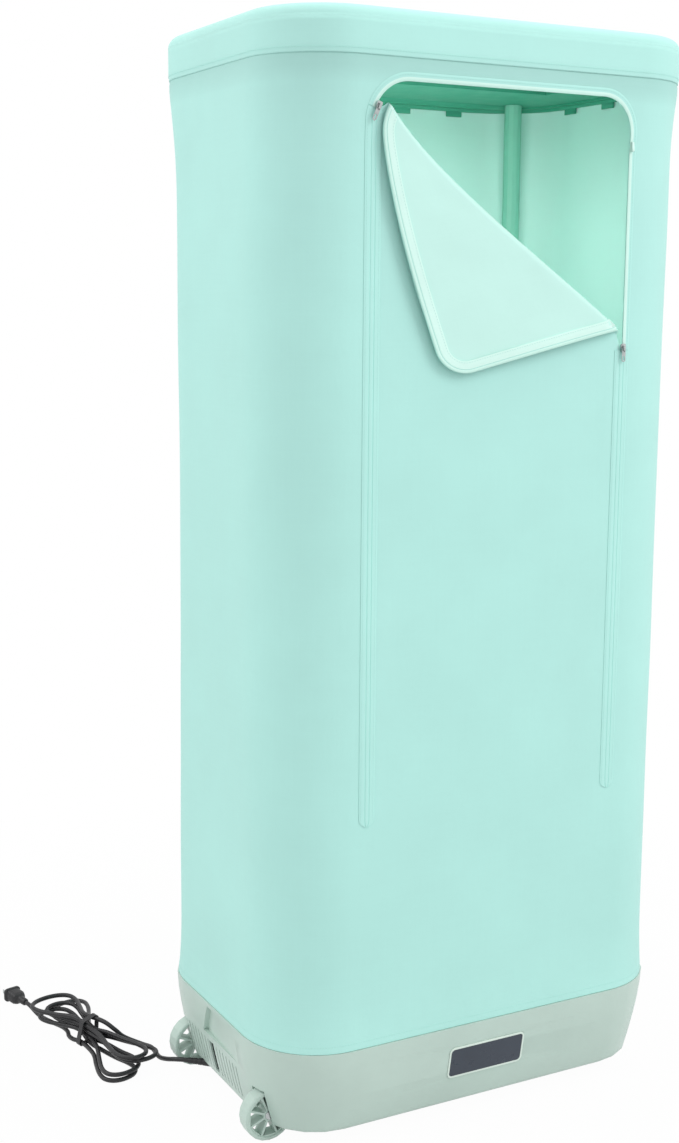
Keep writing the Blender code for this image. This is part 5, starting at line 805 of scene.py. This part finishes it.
def door_tape_stations():
    stations = track_arc(-1, DOOR_TAPE_START_ANGLE, pi / 2, 4) + track_top() + track_arc(1, pi / 2, 0)
    return stations + track_side(1, FOLD_END_Z + DOOR_TAPE_END, DOOR_TOP - DOOR_CORNER)[-2::-1]


def make_loose_tapes():
    """The zip's two open tapes: one round the opening and one on the folded corner of the door."""
    low, top = BAND_LOW, BAND_TOP
    profile = [(DOOR_SLIT / 2, low), (TAPE_HALF, low), (TAPE_HALF - 0.0008, top - 0.0004),
               (TAPE_HALF - 0.0026, top - 0.0002), (0.0060, top - 0.0002), (0.0050, top), (0.0034, top),
               (0.0028, top - 0.0003), (DOOR_SLIT / 2, top - 0.0003)]
    tape = swept("zip_tape_of_frame", frame_tape_stations(), profile, lay_on_front, ["tape", "band"], (1, 2, 3))
    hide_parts("zip_frame_tape")
    edge, face = DOOR_TAPE_EDGE, DOOR_TAPE_FACE
    width = DOOR_TAPE_WIDTH
    back = -FABRIC - 0.0003
    profile = [(edge, back), (edge, face + 0.0002), (edge - 0.0006, face), (edge - 0.0046, face),
               (edge - 0.0050, face + 0.0006), (edge - 0.0058, face + 0.0006),
               (edge - 0.0062, face), (edge - width + 0.0012, face), (edge - width, face + 0.0004),
               (edge - width, back)]
    tape = swept("zip_tape_of_door", door_tape_stations(), profile, fold_door, ["tape", "thread"], (4,))
    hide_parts("zip_door_tape")


def make_tape_loop():
    """The small fabric loop beside the opening: a strip that hangs from its sewn ends."""
    shape, layer = cloth_shape()
    radius, half, thick, seat = 0.0016, 0.0055, 0.0009, 0.0035
    path = [(0.0006, half)]
    path += [(radius * cos(-k / 14 * pi), -half + radius * sin(-k / 14 * pi)) for k in range(15)]
    path += [(-0.0006, half)]
    rows = []
    for k, (out, z) in enumerate(path):
        before, after = Vector(path[max(0, k - 1)]), Vector(path[min(len(path) - 1, k + 1)])
        away = (after - before).normalized()
        side = Vector((-away.y, away.x))
        row = []
        for across, level in ((-0.002, -0.5), (0.002, -0.5), (0.002, 0.5), (-0.002, 0.5)):
            spot = Vector((out, z)) + side * thick * level
            x = DOOR_HALF + 0.0035 + across
            row.append(shape.verts.new((x, -(cover_front_y(LOOP_Z) + seat + spot.x), LOOP_Z + spot.y)))
        rows.append(row)
    for far, (one, two) in enumerate(zip(rows, rows[1:])):
        for i in range(4):
            j = (i + 1) % 4
            left, right, low, high = 0.001 * far, 0.001 * (far + 1), 0.002 * i, 0.002 * (i + 1)
            mapped_face(shape, layer, (one[i], one[j], two[j], two[i]),
                        ((left, low), (left, high), (right, high), (right, low)))
    shape.faces.new(rows[0])
    shape.faces.new(rows[-1])
    bmesh.ops.recalc_face_normals(shape, faces=shape.faces)
    loop = mesh_object("tape_loop", shape, ["tape"])
    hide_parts("loop_tab")


# Rows of stitches and teeth

def row_tree(name, material):
    """Place one small rounded piece after another along lines, each turned across its line."""
    tree = bpy.data.node_groups.new(name, "GeometryNodeTree")
    tree.interface.new_socket(name="Lines", in_out="INPUT", socket_type="NodeSocketGeometry")
    for title, default in (("Pitch", 0.004), ("Length", 0.0026), ("Width", 0.0006), ("Height", 0.0005)):
        socket = tree.interface.new_socket(name=title, in_out="INPUT", socket_type="NodeSocketFloat")
        socket.default_value = default
    tree.interface.new_socket(name="Pieces", in_out="OUTPUT", socket_type="NodeSocketGeometry")
    given = tree.nodes.new("NodeGroupInput").outputs
    curve = add(tree, "GeometryNodeMeshToCurve", {"Mesh": given["Lines"]})
    spaced = add(tree, "GeometryNodeResampleCurve", {"Curve": curve.outputs["Curve"], "Length": given["Pitch"]},
                 mode="LENGTH")
    tangent = add(tree, "GeometryNodeInputTangent")
    across = add(tree, "GeometryNodeInputNamedAttribute", {"Name": "across"}, data_type="FLOAT_VECTOR")
    ahead = add(tree, "FunctionNodeAlignRotationToVector", {"Vector": tangent.outputs["Tangent"]}, axis="X")
    turned = add(tree, "FunctionNodeAlignRotationToVector",
                 {"Rotation": ahead.outputs["Rotation"], "Vector": across.outputs["Attribute"]},
                 axis="Y", pivot_axis="X")
    size = add(tree, "ShaderNodeCombineXYZ", {"X": given["Length"], "Y": given["Width"], "Z": given["Height"]})
    pill = add(tree, "GeometryNodeMeshUVSphere", {"Segments": 6, "Rings": 4, "Radius": 0.5})
    placed = add(tree, "GeometryNodeInstanceOnPoints",
                 {"Points": spaced.outputs["Curve"], "Instance": pill.outputs["Mesh"],
                  "Rotation": turned.outputs["Rotation"], "Scale": size.outputs["Vector"]})
    real = add(tree, "GeometryNodeRealizeInstances", {"Geometry": placed.outputs["Instances"]})
    smooth = add(tree, "GeometryNodeSetShadeSmooth", {"Geometry": real.outputs["Geometry"]})
    done = add(tree, "GeometryNodeSetMaterial", {"Geometry": smooth.outputs["Geometry"], "Material": material})
    output = tree.nodes.new("NodeGroupOutput")
    tree.links.new(done.outputs["Geometry"], output.inputs["Pieces"])
    return tree


def make_rows(name, lines, material, sizes):
    """Run the row tree over lines of (place, direction across) pairs, and keep the result as a plain mesh."""
    mesh = bpy.data.meshes.new(name + "_lines")
    places, edges, sides = [], [], []
    for line in lines:
        first = len(places)
        places += [place for place, _ in line]
        sides += [side for _, side in line]
        edges += [(k, k + 1) for k in range(first, len(places) - 1)]
    mesh.from_pydata(places, edges, [])
    field = mesh.attributes.new("across", "FLOAT_VECTOR", "POINT")
    field.data.foreach_set("vector", [value for side in sides for value in side])
    carrier = new_object(name + "_lines", mesh)
    modifier = carrier.modifiers.new("rows", "NODES")
    tree = row_tree(name, MATERIALS[material])
    modifier.node_group = tree
    for item in tree.interface.items_tree:
        if item.in_out == "INPUT" and item.name in sizes:
            modifier[item.identifier] = sizes[item.name]
    graph = bpy.context.evaluated_depsgraph_get()
    plain = bpy.data.meshes.new_from_object(carrier.evaluated_get(graph))
    bpy.data.objects.remove(carrier)
    if not len(plain.vertices):
        raise RuntimeError(f"{name}: the rows are empty")
    plain.name = name
    item = new_object(name, plain)
    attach(item, CABINET)


def on_track(stations, across, out, place):
    """Points along the zip's track at a distance to its side, each with the direction across."""
    line = []
    for x, z, angle, width in stations:
        if width < 1:
            continue
        one = place(x + across * cos(angle), z + across * sin(angle), out)
        two = place(x + (across + 0.001) * cos(angle), z + (across + 0.001) * sin(angle), out)
        line.append((one, (two - one).normalized()))
    return line


def round_cover(z, softness, out=0.0001, steps=560):
    """A level line all round the cover."""
    line = []
    for k in range(steps + 1):
        run = HALF_ROUND * (2 * k / steps - 1)
        spot, away = round_place(run, z)
        line.append((spot + away * (out + slack(run, z, softness)), Vector((0, 0, 1))))
    return line


def round_lid(inset, z, out=0.0002):
    points = ring_outline(inset - out, LID_HALF_DEPTH)
    points.append(points[0])
    return [(Vector((x, y, z)), Vector((0, 0, 1))) for x, y in points]


def back_seam(side, softness, low, high, steps=200):
    line = []
    for k in range(steps + 1):
        z = low + (high - low) * k / steps
        run = side * (HALF_ROUND - 0.005)
        spot, away = round_place(run, z)
        line.append((spot + away * (0.0001 + slack(run, z, softness)), Vector((1, 0, 0))))
    return line


def make_stitches(sizes):
    """Rows of stitches on the zip's tapes, the lid's foot, the cover's hem and the seam at the back."""
    stitch = {"Pitch": sizes.stitch_pitch, "Length": sizes.stitch_length, "Width": STITCH_WIDTH,
              "Height": STITCH_HEIGHT}
    top = BAND_TOP + 0.0001
    lines = [on_track(stations, side * BAND_STITCH_ROW, top, lay_on_front)
             for stations in (left_band_stations(), right_band_stations()) for side in (-1, 1)]
    lines.append(on_track(frame_tape_stations(), FRAME_STITCH_ROW, top, lay_on_front))
    face = DOOR_TAPE_FACE - 0.0001
    lines.append(on_track(door_tape_stations(), DOOR_TAPE_EDGE - DOOR_STITCH_ROW, face, fold_door))
    make_rows("stitches_of_zip", lines, "thread", stitch)
    lines = [round_lid(0.0, CREASE + 0.0065), round_cover(SEAM + 0.010, sizes.softness)]
    lines += [back_seam(side, sizes.softness, SEAM + 0.012, CREASE - 0.006) for side in (-1, 1)]
    make_rows("stitches_of_cover", lines, "thread", stitch)


def make_teeth(sizes):
    """The coils of teeth along the two open edges of the zip."""
    tooth = {"Pitch": sizes.tooth_pitch, "Length": TOOTH_LENGTH, "Width": TOOTH_WIDTH, "Height": TOOTH_HEIGHT}
    for name, line in (
            ("frame", on_track(frame_tape_stations(), DOOR_SLIT / 2 + 0.0014, BAND_TOP - 0.0003, lay_on_front)),
            ("door", on_track(door_tape_stations(), DOOR_TAPE_EDGE - 0.0012, DOOR_TAPE_FACE - 0.0002, fold_door))):
        make_rows(f"teeth_of_{name}", [line], "teeth", tooth)


# Copies of the model's own pieces with softened edges

SHARP_ANGLE = radians(35)


def softened(name, node, width, finish, body=CABINET):
    """A merged copy of a node with narrow round edges and a cloth map in metres."""
    shape = bmesh.new()
    shape.from_mesh(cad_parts[node].data)
    bmesh.ops.remove_doubles(shape, verts=shape.verts, dist=0.00002)
    layer = shape.loops.layers.uv.get(CLOTH_MAP) or shape.loops.layers.uv.new(CLOTH_MAP)
    for face in shape.faces:
        face.smooth = True
        face.material_index = 0
        axis = max(range(3), key=lambda k: abs(face.normal[k]))
        one, two = ((1, 2), (0, 2), (0, 1))[axis]
        for loop in face.loops:
            loop[layer].uv = (loop.vert.co[one], loop.vert.co[two])
    bmesh.ops.dissolve_limit(shape, angle_limit=radians(0.5), verts=shape.verts, edges=shape.edges)
    item = mesh_object(name, shape, [finish], body)
    item.data.set_sharp_from_angle(angle=SHARP_ANGLE)
    if width:
        edge = item.modifiers.new("edges", "BEVEL")
        edge.width = width
        edge.segments = 2
        edge.limit_method = "ANGLE"
        edge.angle_limit = SHARP_ANGLE
        edge.harden_normals = True
    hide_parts(node)
    return item


# The mains cord

CORD_POINTS = (
    (-0.3321, 0.0959, 0.0215), (-0.3395, 0.1025, 0.0213), (-0.3480, 0.1135, 0.0190), (-0.3540, 0.1290, 0.0140),
    (-0.3570, 0.1500, 0.0085), (-0.3566, 0.1685, 0.0090), (-0.3579, 0.1838, 0.0108), (-0.3653, 0.2016, 0.0096),
    (-0.3877, 0.2215, 0.0180), (-0.4005, 0.2277, 0.0302), (-0.4132, 0.2448, 0.0396), (-0.4296, 0.2847, 0.0389),
    (-0.4264, 0.3177, 0.0371), (-0.4232, 0.3461, 0.0366), (-0.4280, 0.3663, 0.0366), (-0.4437, 0.3760, 0.0366),
    (-0.4660, 0.3754, 0.0366), (-0.4858, 0.3663, 0.0366), (-0.4943, 0.3510, 0.0366), (-0.4877, 0.3312, 0.0366),
    (-0.4695, 0.3077, 0.0371), (-0.4484, 0.2804, 0.0389), (-0.4342, 0.2490, 0.0316), (-0.4291, 0.2168, 0.0312),
    (-0.4282, 0.1859, 0.0290), (-0.4277, 0.1593, 0.0283), (-0.4227, 0.1400, 0.0282), (-0.4118, 0.1296, 0.0282),
    (-0.3974, 0.1285, 0.0282), (-0.3853, 0.1357, 0.0282), (-0.3808, 0.1496, 0.0282), (-0.3862, 0.1689, 0.0283),
    (-0.3992, 0.1926, 0.0290), (-0.4145, 0.2202, 0.0312), (-0.4258, 0.2510, 0.0275), (-0.4289, 0.2808, 0.0299),
    (-0.4269, 0.3097, 0.0294), (-0.4252, 0.3346, 0.0284), (-0.4288, 0.3525, 0.0284), (-0.4392, 0.3619, 0.0284),
    (-0.4539, 0.3625, 0.0284), (-0.4670, 0.3555, 0.0284), (-0.4727, 0.3424, 0.0284), (-0.4686, 0.3245, 0.0284),
    (-0.4571, 0.3028, 0.0294), (-0.4438, 0.2774, 0.0299), (-0.4342, 0.2490, 0.0234), (-0.4267, 0.2174, 0.0230),
    (-0.4235, 0.1870, 0.0208), (-0.4216, 0.1607, 0.0202), (-0.4145, 0.1419, 0.0202), (-0.4003, 0.1323, 0.0202),
    (-0.3823, 0.1320, 0.0202), (-0.3676, 0.1398, 0.0202), (-0.3629, 0.1538, 0.0202), (-0.3710, 0.1724, 0.0202),
    (-0.3889, 0.1950, 0.0208), (-0.4105, 0.2211, 0.0230), (-0.4258, 0.2510, 0.0193), (-0.4312, 0.2810, 0.0218),
    (-0.4327, 0.3097, 0.0211), (-0.4334, 0.3345, 0.0202), (-0.4389, 0.3525, 0.0202), (-0.4509, 0.3618, 0.0202),
    (-0.4665, 0.3623, 0.0202), (-0.4796, 0.3551, 0.0202), (-0.4843, 0.3420, 0.0202), (-0.4782, 0.3242, 0.0202),
    (-0.4638, 0.3026, 0.0211), (-0.4464, 0.2774, 0.0218), (-0.4342, 0.2490, 0.0152), (-0.4353, 0.2143, 0.0148),
    (-0.4438, 0.1802, 0.0125), (-0.4506, 0.1510, 0.0120), (-0.4497, 0.1301, 0.0120), (-0.4387, 0.1193, 0.0120),
    (-0.4208, 0.1189, 0.0120), (-0.4036, 0.1274, 0.0120), (-0.3944, 0.1429, 0.0120), (-0.3964, 0.1636, 0.0120),
    (-0.4070, 0.1887, 0.0125), (-0.4183, 0.2182, 0.0148), (-0.4258, 0.2510, 0.0111), (-0.4204, 0.2910, 0.0145),
    (-0.4076, 0.3301, 0.0121), (-0.3969, 0.3636, 0.0109), (-0.3953, 0.3878, 0.0100), (-0.4058, 0.4003, 0.0096),
    (-0.4247, 0.4011, 0.0096), (-0.4441, 0.3915, 0.0096), (-0.4556, 0.3739, 0.0100), (-0.4557, 0.3500, 0.0109),
    (-0.4472, 0.3210, 0.0121), (-0.4382, 0.2869, 0.0145), (-0.4342, 0.2490, 0.0070), (-0.4260, 0.2164, 0.0066),
    (-0.4140, 0.1870, 0.0043), (-0.4030, 0.1619, 0.0038), (-0.4003, 0.1413, 0.0038), (-0.4085, 0.1261, 0.0038),
    (-0.4247, 0.1178, 0.0038), (-0.4417, 0.1184, 0.0038), (-0.4527, 0.1292, 0.0038), (-0.4544, 0.1500, 0.0038),
    (-0.4491, 0.1789, 0.0043), (-0.4424, 0.2126, 0.0066), (-0.4454, 0.2567, 0.0070), (-0.4527, 0.2735, 0.0058),
    (-0.4540, 0.2917, 0.0038), (-0.4508, 0.3088, 0.0038), (-0.4524, 0.3269, 0.0038), (-0.4600, 0.3469, 0.0038),
    (-0.4684, 0.3694, 0.0038), (-0.4729, 0.3870, 0.0042), (-0.4758, 0.3995, 0.0066), (-0.4785, 0.4112, 0.0100),
    (-0.4801, 0.4180, 0.0113), (-0.4821, 0.4268, 0.0115),
)
CORD_DIAMETER = 0.007


def smooth_route(points, steps=8):
    """A smooth curve through the route's points."""
    line = []
    for k in range(len(points) - 1):
        before = points[k - 1] if k else 2 * points[0] - points[1]
        after = points[k + 2] if k + 2 < len(points) else 2 * points[-1] - points[-2]
        for step in range(steps):
            t = step / steps
            line.append(0.5 * ((2 * points[k]) + (points[k + 1] - before) * t
                               + (2 * before - 5 * points[k] + 4 * points[k + 1] - after) * t * t
                               + (3 * points[k] - before - 3 * points[k + 1] + after) * t ** 3))
    return line + [points[-1]]


def evenly(line, pitch):
    """The same line with points at an even pitch."""
    spans = [0.0]
    for one, two in zip(line, line[1:]):
        spans.append(spans[-1] + (two - one).length)
    count = round(spans[-1] / pitch)
    points, k = [], 0
    for step in range(count + 1):
        reach = spans[-1] * step / count
        while k < len(line) - 2 and spans[k + 1] < reach:
            k += 1
        share = (reach - spans[k]) / max(1e-9, spans[k + 1] - spans[k])
        points.append(line[k].lerp(line[k + 1], share))
    return points


def make_cord():
    """The cord from its gland, through the hank on the floor, to the plug."""
    points = evenly(smooth_route([Vector(point) for point in CORD_POINTS]), 0.004)
    curve = bpy.data.curves.new("mains_cord", "CURVE")
    curve.dimensions = "3D"
    curve.bevel_depth = CORD_DIAMETER / 2
    curve.bevel_resolution = 4
    curve.use_fill_caps = True
    spline = curve.splines.new("POLY")
    spline.points.add(len(points) - 1)
    for point, place in zip(spline.points, points):
        point.co = (*place, 1)
    spline.use_smooth = True
    curve.materials.append(MATERIALS["cord"])
    cord = new_object("mains_cord", curve)
    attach(cord, CABINET)
    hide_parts("cord_lead", "cord_hank", "cord_tail")


# The stage

FLOOR_REACH = 60
CAMERA_PLACE = (-1.2225, -2.0389, 1.1672)
CAMERA_PITCH = 0.1685
CAMERA_YAW = 0.4924
CAMERA_ROLL = 0.007
CAMERA_LENS = 51.07

# Each lamp's name, place, target, width and height, and its share of the lamp power
LAMPS = (
    ("front_lamp", (2.0, -2.6, 3.4), (0, 0, 0.9), (1.8, 2.2), 1.2),
    ("side_lamp", (-3.0, 1.2, 2.8), (0, 0, 0.8), (1.8, 2.2), 0.7),
    ("top_lamp", (0, 0.2, 3.4), (0, 0, 1), (2, 2), 0.25),
    ("inner_lamp", (-0.02, -0.13, 1.24), (0.06, 0.2, 1.18), (0.36, 0.3), 0.028),
)


def met_by_eye(tree):
    """1 for the camera, a reflection and a view through glass, and 0 for the light on the object."""
    path = add(tree, "ShaderNodeLightPath").outputs
    mirrored = computed(tree, "MAXIMUM", path["Is Camera Ray"], path["Is Glossy Ray"])
    return computed(tree, "MAXIMUM", mirrored, path["Is Transmission Ray"])


def make_floor():
    """A pale floor that keeps the object's shadow and runs out into white."""
    shape = bmesh.new()
    corners = ((-1, -1), (1, -1), (1, 1), (-1, 1))
    shape.faces.new([shape.verts.new((x * FLOOR_REACH, y * FLOOR_REACH, 0)) for x, y in corners])
    mesh = bpy.data.meshes.new("floor")
    shape.to_mesh(mesh)
    shape.free()
    material = bpy.data.materials.new("floor_white")
    material.use_nodes = True
    tree = material.node_tree
    tree.nodes.clear()
    place = add(tree, "ShaderNodeTexCoord").outputs["Object"]
    far = add(tree, "ShaderNodeVectorMath", {0: place}, operation="LENGTH").outputs["Value"]
    bare = ranged(tree, far, 0.6, 1.4, 0.972, 1.0)
    share = computed(tree, "MULTIPLY", met_by_eye(tree), bare)
    matt = add(tree, "ShaderNodeBsdfDiffuse", {"Color": (0.70, 0.70, 0.70, 1)})
    white = add(tree, "ShaderNodeEmission", {"Color": (1, 1, 1, 1), "Strength": 1.0})
    mix = add(tree, "ShaderNodeMixShader", {0: share, 1: matt.outputs[0], 2: white.outputs[0]})
    output = add(tree, "ShaderNodeOutputMaterial", {"Surface": mix.outputs[0]})
    tree.nodes.active = output
    mesh.materials.append(material)
    new_object("floor", mesh)


def make_world(level):
    """Even light from all round, and white where the camera or a reflection meets it."""
    world = bpy.data.worlds.new("studio")
    bpy.context.scene.world = world
    world.use_nodes = True
    tree = world.node_tree
    tree.nodes.clear()
    seen = met_by_eye(tree)
    soft = add(tree, "ShaderNodeBackground", {"Color": (1, 1, 1, 1), "Strength": level})
    white = add(tree, "ShaderNodeBackground", {"Color": (1, 1, 1, 1), "Strength": 1.0})
    mix = add(tree, "ShaderNodeMixShader", {0: seen, 1: soft.outputs[0], 2: white.outputs[0]})
    add(tree, "ShaderNodeOutputWorld", {"Surface": mix.outputs[0]})


def make_lamp(name, place, target, size, power):
    light = bpy.data.lights.new(name, "AREA")
    light.shape = "RECTANGLE"
    light.size, light.size_y = size
    light.energy = power
    lamp = new_object(name, light)
    lamp.location = place
    lamp.rotation_euler = (Vector(target) - Vector(place)).to_track_quat("-Z", "Y").to_euler()


def make_camera():
    """The photograph's camera: its place and turn, and a lens for the whole frame."""
    pitch, yaw, roll = CAMERA_PITCH, CAMERA_YAW, CAMERA_ROLL
    forward = Vector((sin(yaw) * cos(pitch), cos(yaw) * cos(pitch), -sin(pitch)))
    right = Vector((cos(yaw), -sin(yaw), 0))
    up = right.cross(forward)
    turned_right = cos(roll) * right + sin(roll) * up
    turned_up = -sin(roll) * right + cos(roll) * up
    camera = bpy.data.cameras.new("camera")
    camera.lens = CAMERA_LENS
    camera.sensor_width = 36
    camera.sensor_fit = "AUTO"
    holder = new_object("camera", camera)
    turn = Matrix((turned_right, turned_up, -forward)).transposed().to_4x4()
    holder.matrix_world = Matrix.Translation(CAMERA_PLACE) @ turn
    bpy.context.scene.camera = holder


# Sizes and colours that a user would change

def colour(name, description, value):
    return FloatVectorProperty(name=name, description=description, default=value, size=3, subtype="COLOR",
                               min=0, max=1)


class DryerSizes(bpy.types.PropertyGroup):
    softness: FloatProperty(name="Softness", description="How slack the cloth hangs, from 0 to 2", default=1.0,
                            min=0, max=2)
    cloth_pitch: FloatProperty(name="Cloth pitch", description="Distance between the points of the cloth",
                               default=0.009, min=0.005, unit="LENGTH")
    stitch_length: FloatProperty(name="Stitch length", description="Length of one stitch", default=0.0026,
                                 unit="LENGTH")
    stitch_pitch: FloatProperty(name="Stitch pitch", description="Distance from stitch to stitch", default=0.0040,
                                unit="LENGTH")
    tooth_pitch: FloatProperty(name="Tooth pitch", description="Distance from tooth to tooth of the zip",
                               default=0.0018, unit="LENGTH")
    edge: FloatProperty(name="Edge", description="Width of the round edges of moulded parts", default=0.0006,
                        unit="LENGTH")
    world_light: FloatProperty(name="World light", description="Strength of the even light", default=0.87)
    lamp_power: FloatProperty(name="Lamp power", description="Power of the front lamp", default=46.0,
                              unit="POWER")


class DryerColours(bpy.types.PropertyGroup):
    shell: colour("Base", "Plastic of the base", (0.520, 0.655, 0.592))
    cover: colour("Cover", "Outer face of the fabric", (0.470, 0.825, 0.762))
    lining: colour("Lining", "Inner face of the fabric", (0.580, 0.890, 0.815))
    tape: colour("Tape", "Tapes and teeth of the zip", (0.690, 0.960, 0.880))
    thread: colour("Thread", "Sewing thread", (0.450, 0.790, 0.730))
    # The ceiling's dark green is painted shade under the lid, not the plastic's own colour.
    ceiling: colour("Ceiling", "Plastic of the lid's inside", (0.050, 0.345, 0.220))
    post: colour("Post", "Plastic of the posts", (0.215, 0.560, 0.430))
    cord: colour("Cord", "Rubber of the cord and its plug", (0.015, 0.015, 0.017))
    bezel: colour("Bezel", "Frame of the control panel", (0.740, 0.850, 0.780))
    glass: colour("Window", "Window of the control panel", (0.046, 0.057, 0.077))


# One operator for each piece or group of like pieces

class DRYER_OT_finishes(bpy.types.Operator):
    """Make every material of the dryer."""
    bl_idname = "dryer.finishes"
    bl_label = "Finishes"
    bl_options = {"REGISTER", "UNDO"}

    def execute(self, context):
        make_materials(context.scene.dryer_colours)
        return {"FINISHED"}


class DRYER_OT_base(bpy.types.Operator):
    """Finish the base: its hull, deck, grille, wheels, pins, feet and filter."""
    bl_idname = "dryer.base"
    bl_label = "Base"
    bl_options = {"REGISTER", "UNDO"}

    def execute(self, context):
        sizes = context.scene.dryer_sizes
        softened("base_hull", "base_tub", sizes.edge, "shell")
        dress("shell", "base_deck", "outlet_grille", "wheel_front", "wheel_rear")
        dress("steel", "axle_front", "axle_rear")
        dress("foot", "foot_front", "foot_rear")
        dress("dark", "intake_filter")
        return {"FINISHED"}


class DRYER_OT_blower(bpy.types.Operator):
    """Finish what the base holds: fan, heater and boards."""
    bl_idname = "dryer.blower"
    bl_label = "Fan and heater"
    bl_options = {"REGISTER", "UNDO"}

    def execute(self, context):
        dress("dark", "fan_housing", "fan_impeller", "heater_frame")
        dress("steel", "fan_motor")
        dress("ceramic", "ptc_heater")
        dress("board", "control_board", "power_board")
        return {"FINISHED"}


class DRYER_OT_panel(bpy.types.Operator):
    """Finish the control panel: its frame and its window."""
    bl_idname = "dryer.panel"
    bl_label = "Control panel"
    bl_options = {"REGISTER", "UNDO"}

    def execute(self, context):
        softened("panel_frame", "display_bezel", 0.0004, "bezel")
        dress("glass", "display_glass")
        return {"FINISHED"}


class DRYER_OT_posts(bpy.types.Operator):
    """Finish the posts, the rail and the inside of the lid."""
    bl_idname = "dryer.posts"
    bl_label = "Posts and ceiling"
    bl_options = {"REGISTER", "UNDO"}

    def execute(self, context):
        for corner in ("front_left", "front_right", "rear_left", "rear_right"):
            dress("post", *(f"post_{corner}_{length}" for length in (1, 2, 3)))
        dress("steel", "hanging_rail")
        # The lid's inside takes the ceiling finish, darkened as painted shade.
        ceiling = softened("ceiling_inside", "ceiling_panel", 0, "ceiling")
        ceiling.data.transform(Matrix.Diagonal((CEILING_SHARE, CEILING_SHARE, 1, 1)))
        return {"FINISHED"}


class DRYER_OT_cover(bpy.types.Operator):
    """Make the cover's walls and its hem."""
    bl_idname = "dryer.cover"
    bl_label = "Cover"
    bl_options = {"REGISTER", "UNDO"}

    def execute(self, context):
        sizes = context.scene.dryer_sizes
        make_cover(sizes.softness, sizes.cloth_pitch)
        hem = softened("cover_hem_band", "cover_hem", 0, "cover")
        hem.data.shade_smooth()
        return {"FINISHED"}


class DRYER_OT_lid(bpy.types.Operator):
    """Make the lid's fabric."""
    bl_idname = "dryer.lid"
    bl_label = "Lid"
    bl_options = {"REGISTER", "UNDO"}

    def execute(self, context):
        sizes = context.scene.dryer_sizes
        make_lid(sizes.softness)
        return {"FINISHED"}


class DRYER_OT_door(bpy.types.Operator):
    """Make the door with its folded corner."""
    bl_idname = "dryer.door"
    bl_label = "Door"
    bl_options = {"REGISTER", "UNDO"}

    def execute(self, context):
        sizes = context.scene.dryer_sizes
        make_door(sizes.softness, sizes.cloth_pitch)
        return {"FINISHED"}


class DRYER_OT_zip(bpy.types.Operator):
    """Make the zip: closed bands, open tapes, teeth, sliders and the loop."""
    bl_idname = "dryer.zip"
    bl_label = "Zip"
    bl_options = {"REGISTER", "UNDO"}

    def execute(self, context):
        sizes = context.scene.dryer_sizes
        make_zip_bands()
        make_loose_tapes()
        make_teeth(sizes)
        make_tape_loop()
        for side in ("left", "right"):
            softened(f"slider_{side}", f"zip_slider_{side}", 0.0004, "steel", f"{side}_slider")
            softened(f"pull_{side}", f"zip_pull_{side}", 0.0002, "steel", f"{side}_pull")
        return {"FINISHED"}


class DRYER_OT_stitches(bpy.types.Operator):
    """Sew the rows of stitches."""
    bl_idname = "dryer.stitches"
    bl_label = "Stitches"
    bl_options = {"REGISTER", "UNDO"}

    def execute(self, context):
        sizes = context.scene.dryer_sizes
        make_stitches(sizes)
        return {"FINISHED"}


class DRYER_OT_cord(bpy.types.Operator):
    """Make the mains cord with its plug, its tie and its strain relief."""
    bl_idname = "dryer.cord"
    bl_label = "Mains cord"
    bl_options = {"REGISTER", "UNDO"}

    def execute(self, context):
        softened("plug_shell", "plug_body", 0.0008, "cord")
        dress("steel", "plug_blade_left", "plug_blade_right")
        dress("cord", "cord_gland", "cord_tie")
        make_cord()
        return {"FINISHED"}


class DRYER_OT_stage(bpy.types.Operator):
    """Set up the floor, the lamps and the camera."""
    bl_idname = "dryer.stage"
    bl_label = "Stage"
    bl_options = {"REGISTER", "UNDO"}

    def execute(self, context):
        sizes = context.scene.dryer_sizes
        make_floor()
        make_world(sizes.world_light)
        for name, place, target, size, share in LAMPS:
            make_lamp(name, place, target, size, sizes.lamp_power * share)
        make_camera()
        bpy.context.scene.view_settings.view_transform = "Standard"
        return {"FINISHED"}


OPERATORS = (DRYER_OT_stage, DRYER_OT_finishes, DRYER_OT_cord, DRYER_OT_base, DRYER_OT_blower, DRYER_OT_panel,
             DRYER_OT_posts, DRYER_OT_cover, DRYER_OT_lid, DRYER_OT_door, DRYER_OT_zip, DRYER_OT_stitches)


class DRYER_PT_parts(bpy.types.Panel):
    """Sidebar panel with the sizes, the colours and the operators."""
    bl_idname = "DRYER_PT_parts"
    bl_label = "Clothes dryer"
    bl_space_type = "VIEW_3D"
    bl_region_type = "UI"
    bl_category = "Dryer"

    def draw(self, context):
        for group in (context.scene.dryer_sizes, context.scene.dryer_colours):
            column = self.layout.column()
            for key in group.__annotations__:
                column.prop(group, key)
        for operator in OPERATORS:
            self.layout.operator(operator.bl_idname)


CLASSES = (DryerSizes, DryerColours, *OPERATORS, DRYER_PT_parts)


def register():
    for kind in CLASSES:
        bpy.utils.register_class(kind)
    bpy.types.Scene.dryer_sizes = PointerProperty(type=DryerSizes)
    bpy.types.Scene.dryer_colours = PointerProperty(type=DryerColours)


def unregister():
    del bpy.types.Scene.dryer_colours
    del bpy.types.Scene.dryer_sizes
    for kind in reversed(CLASSES):
        bpy.utils.unregister_class(kind)


def main():
    register()
    for operator in OPERATORS:
        group, name = operator.bl_idname.split(".")
        getattr(getattr(bpy.ops, group), name)()


if __name__ == "__main__":
    main()
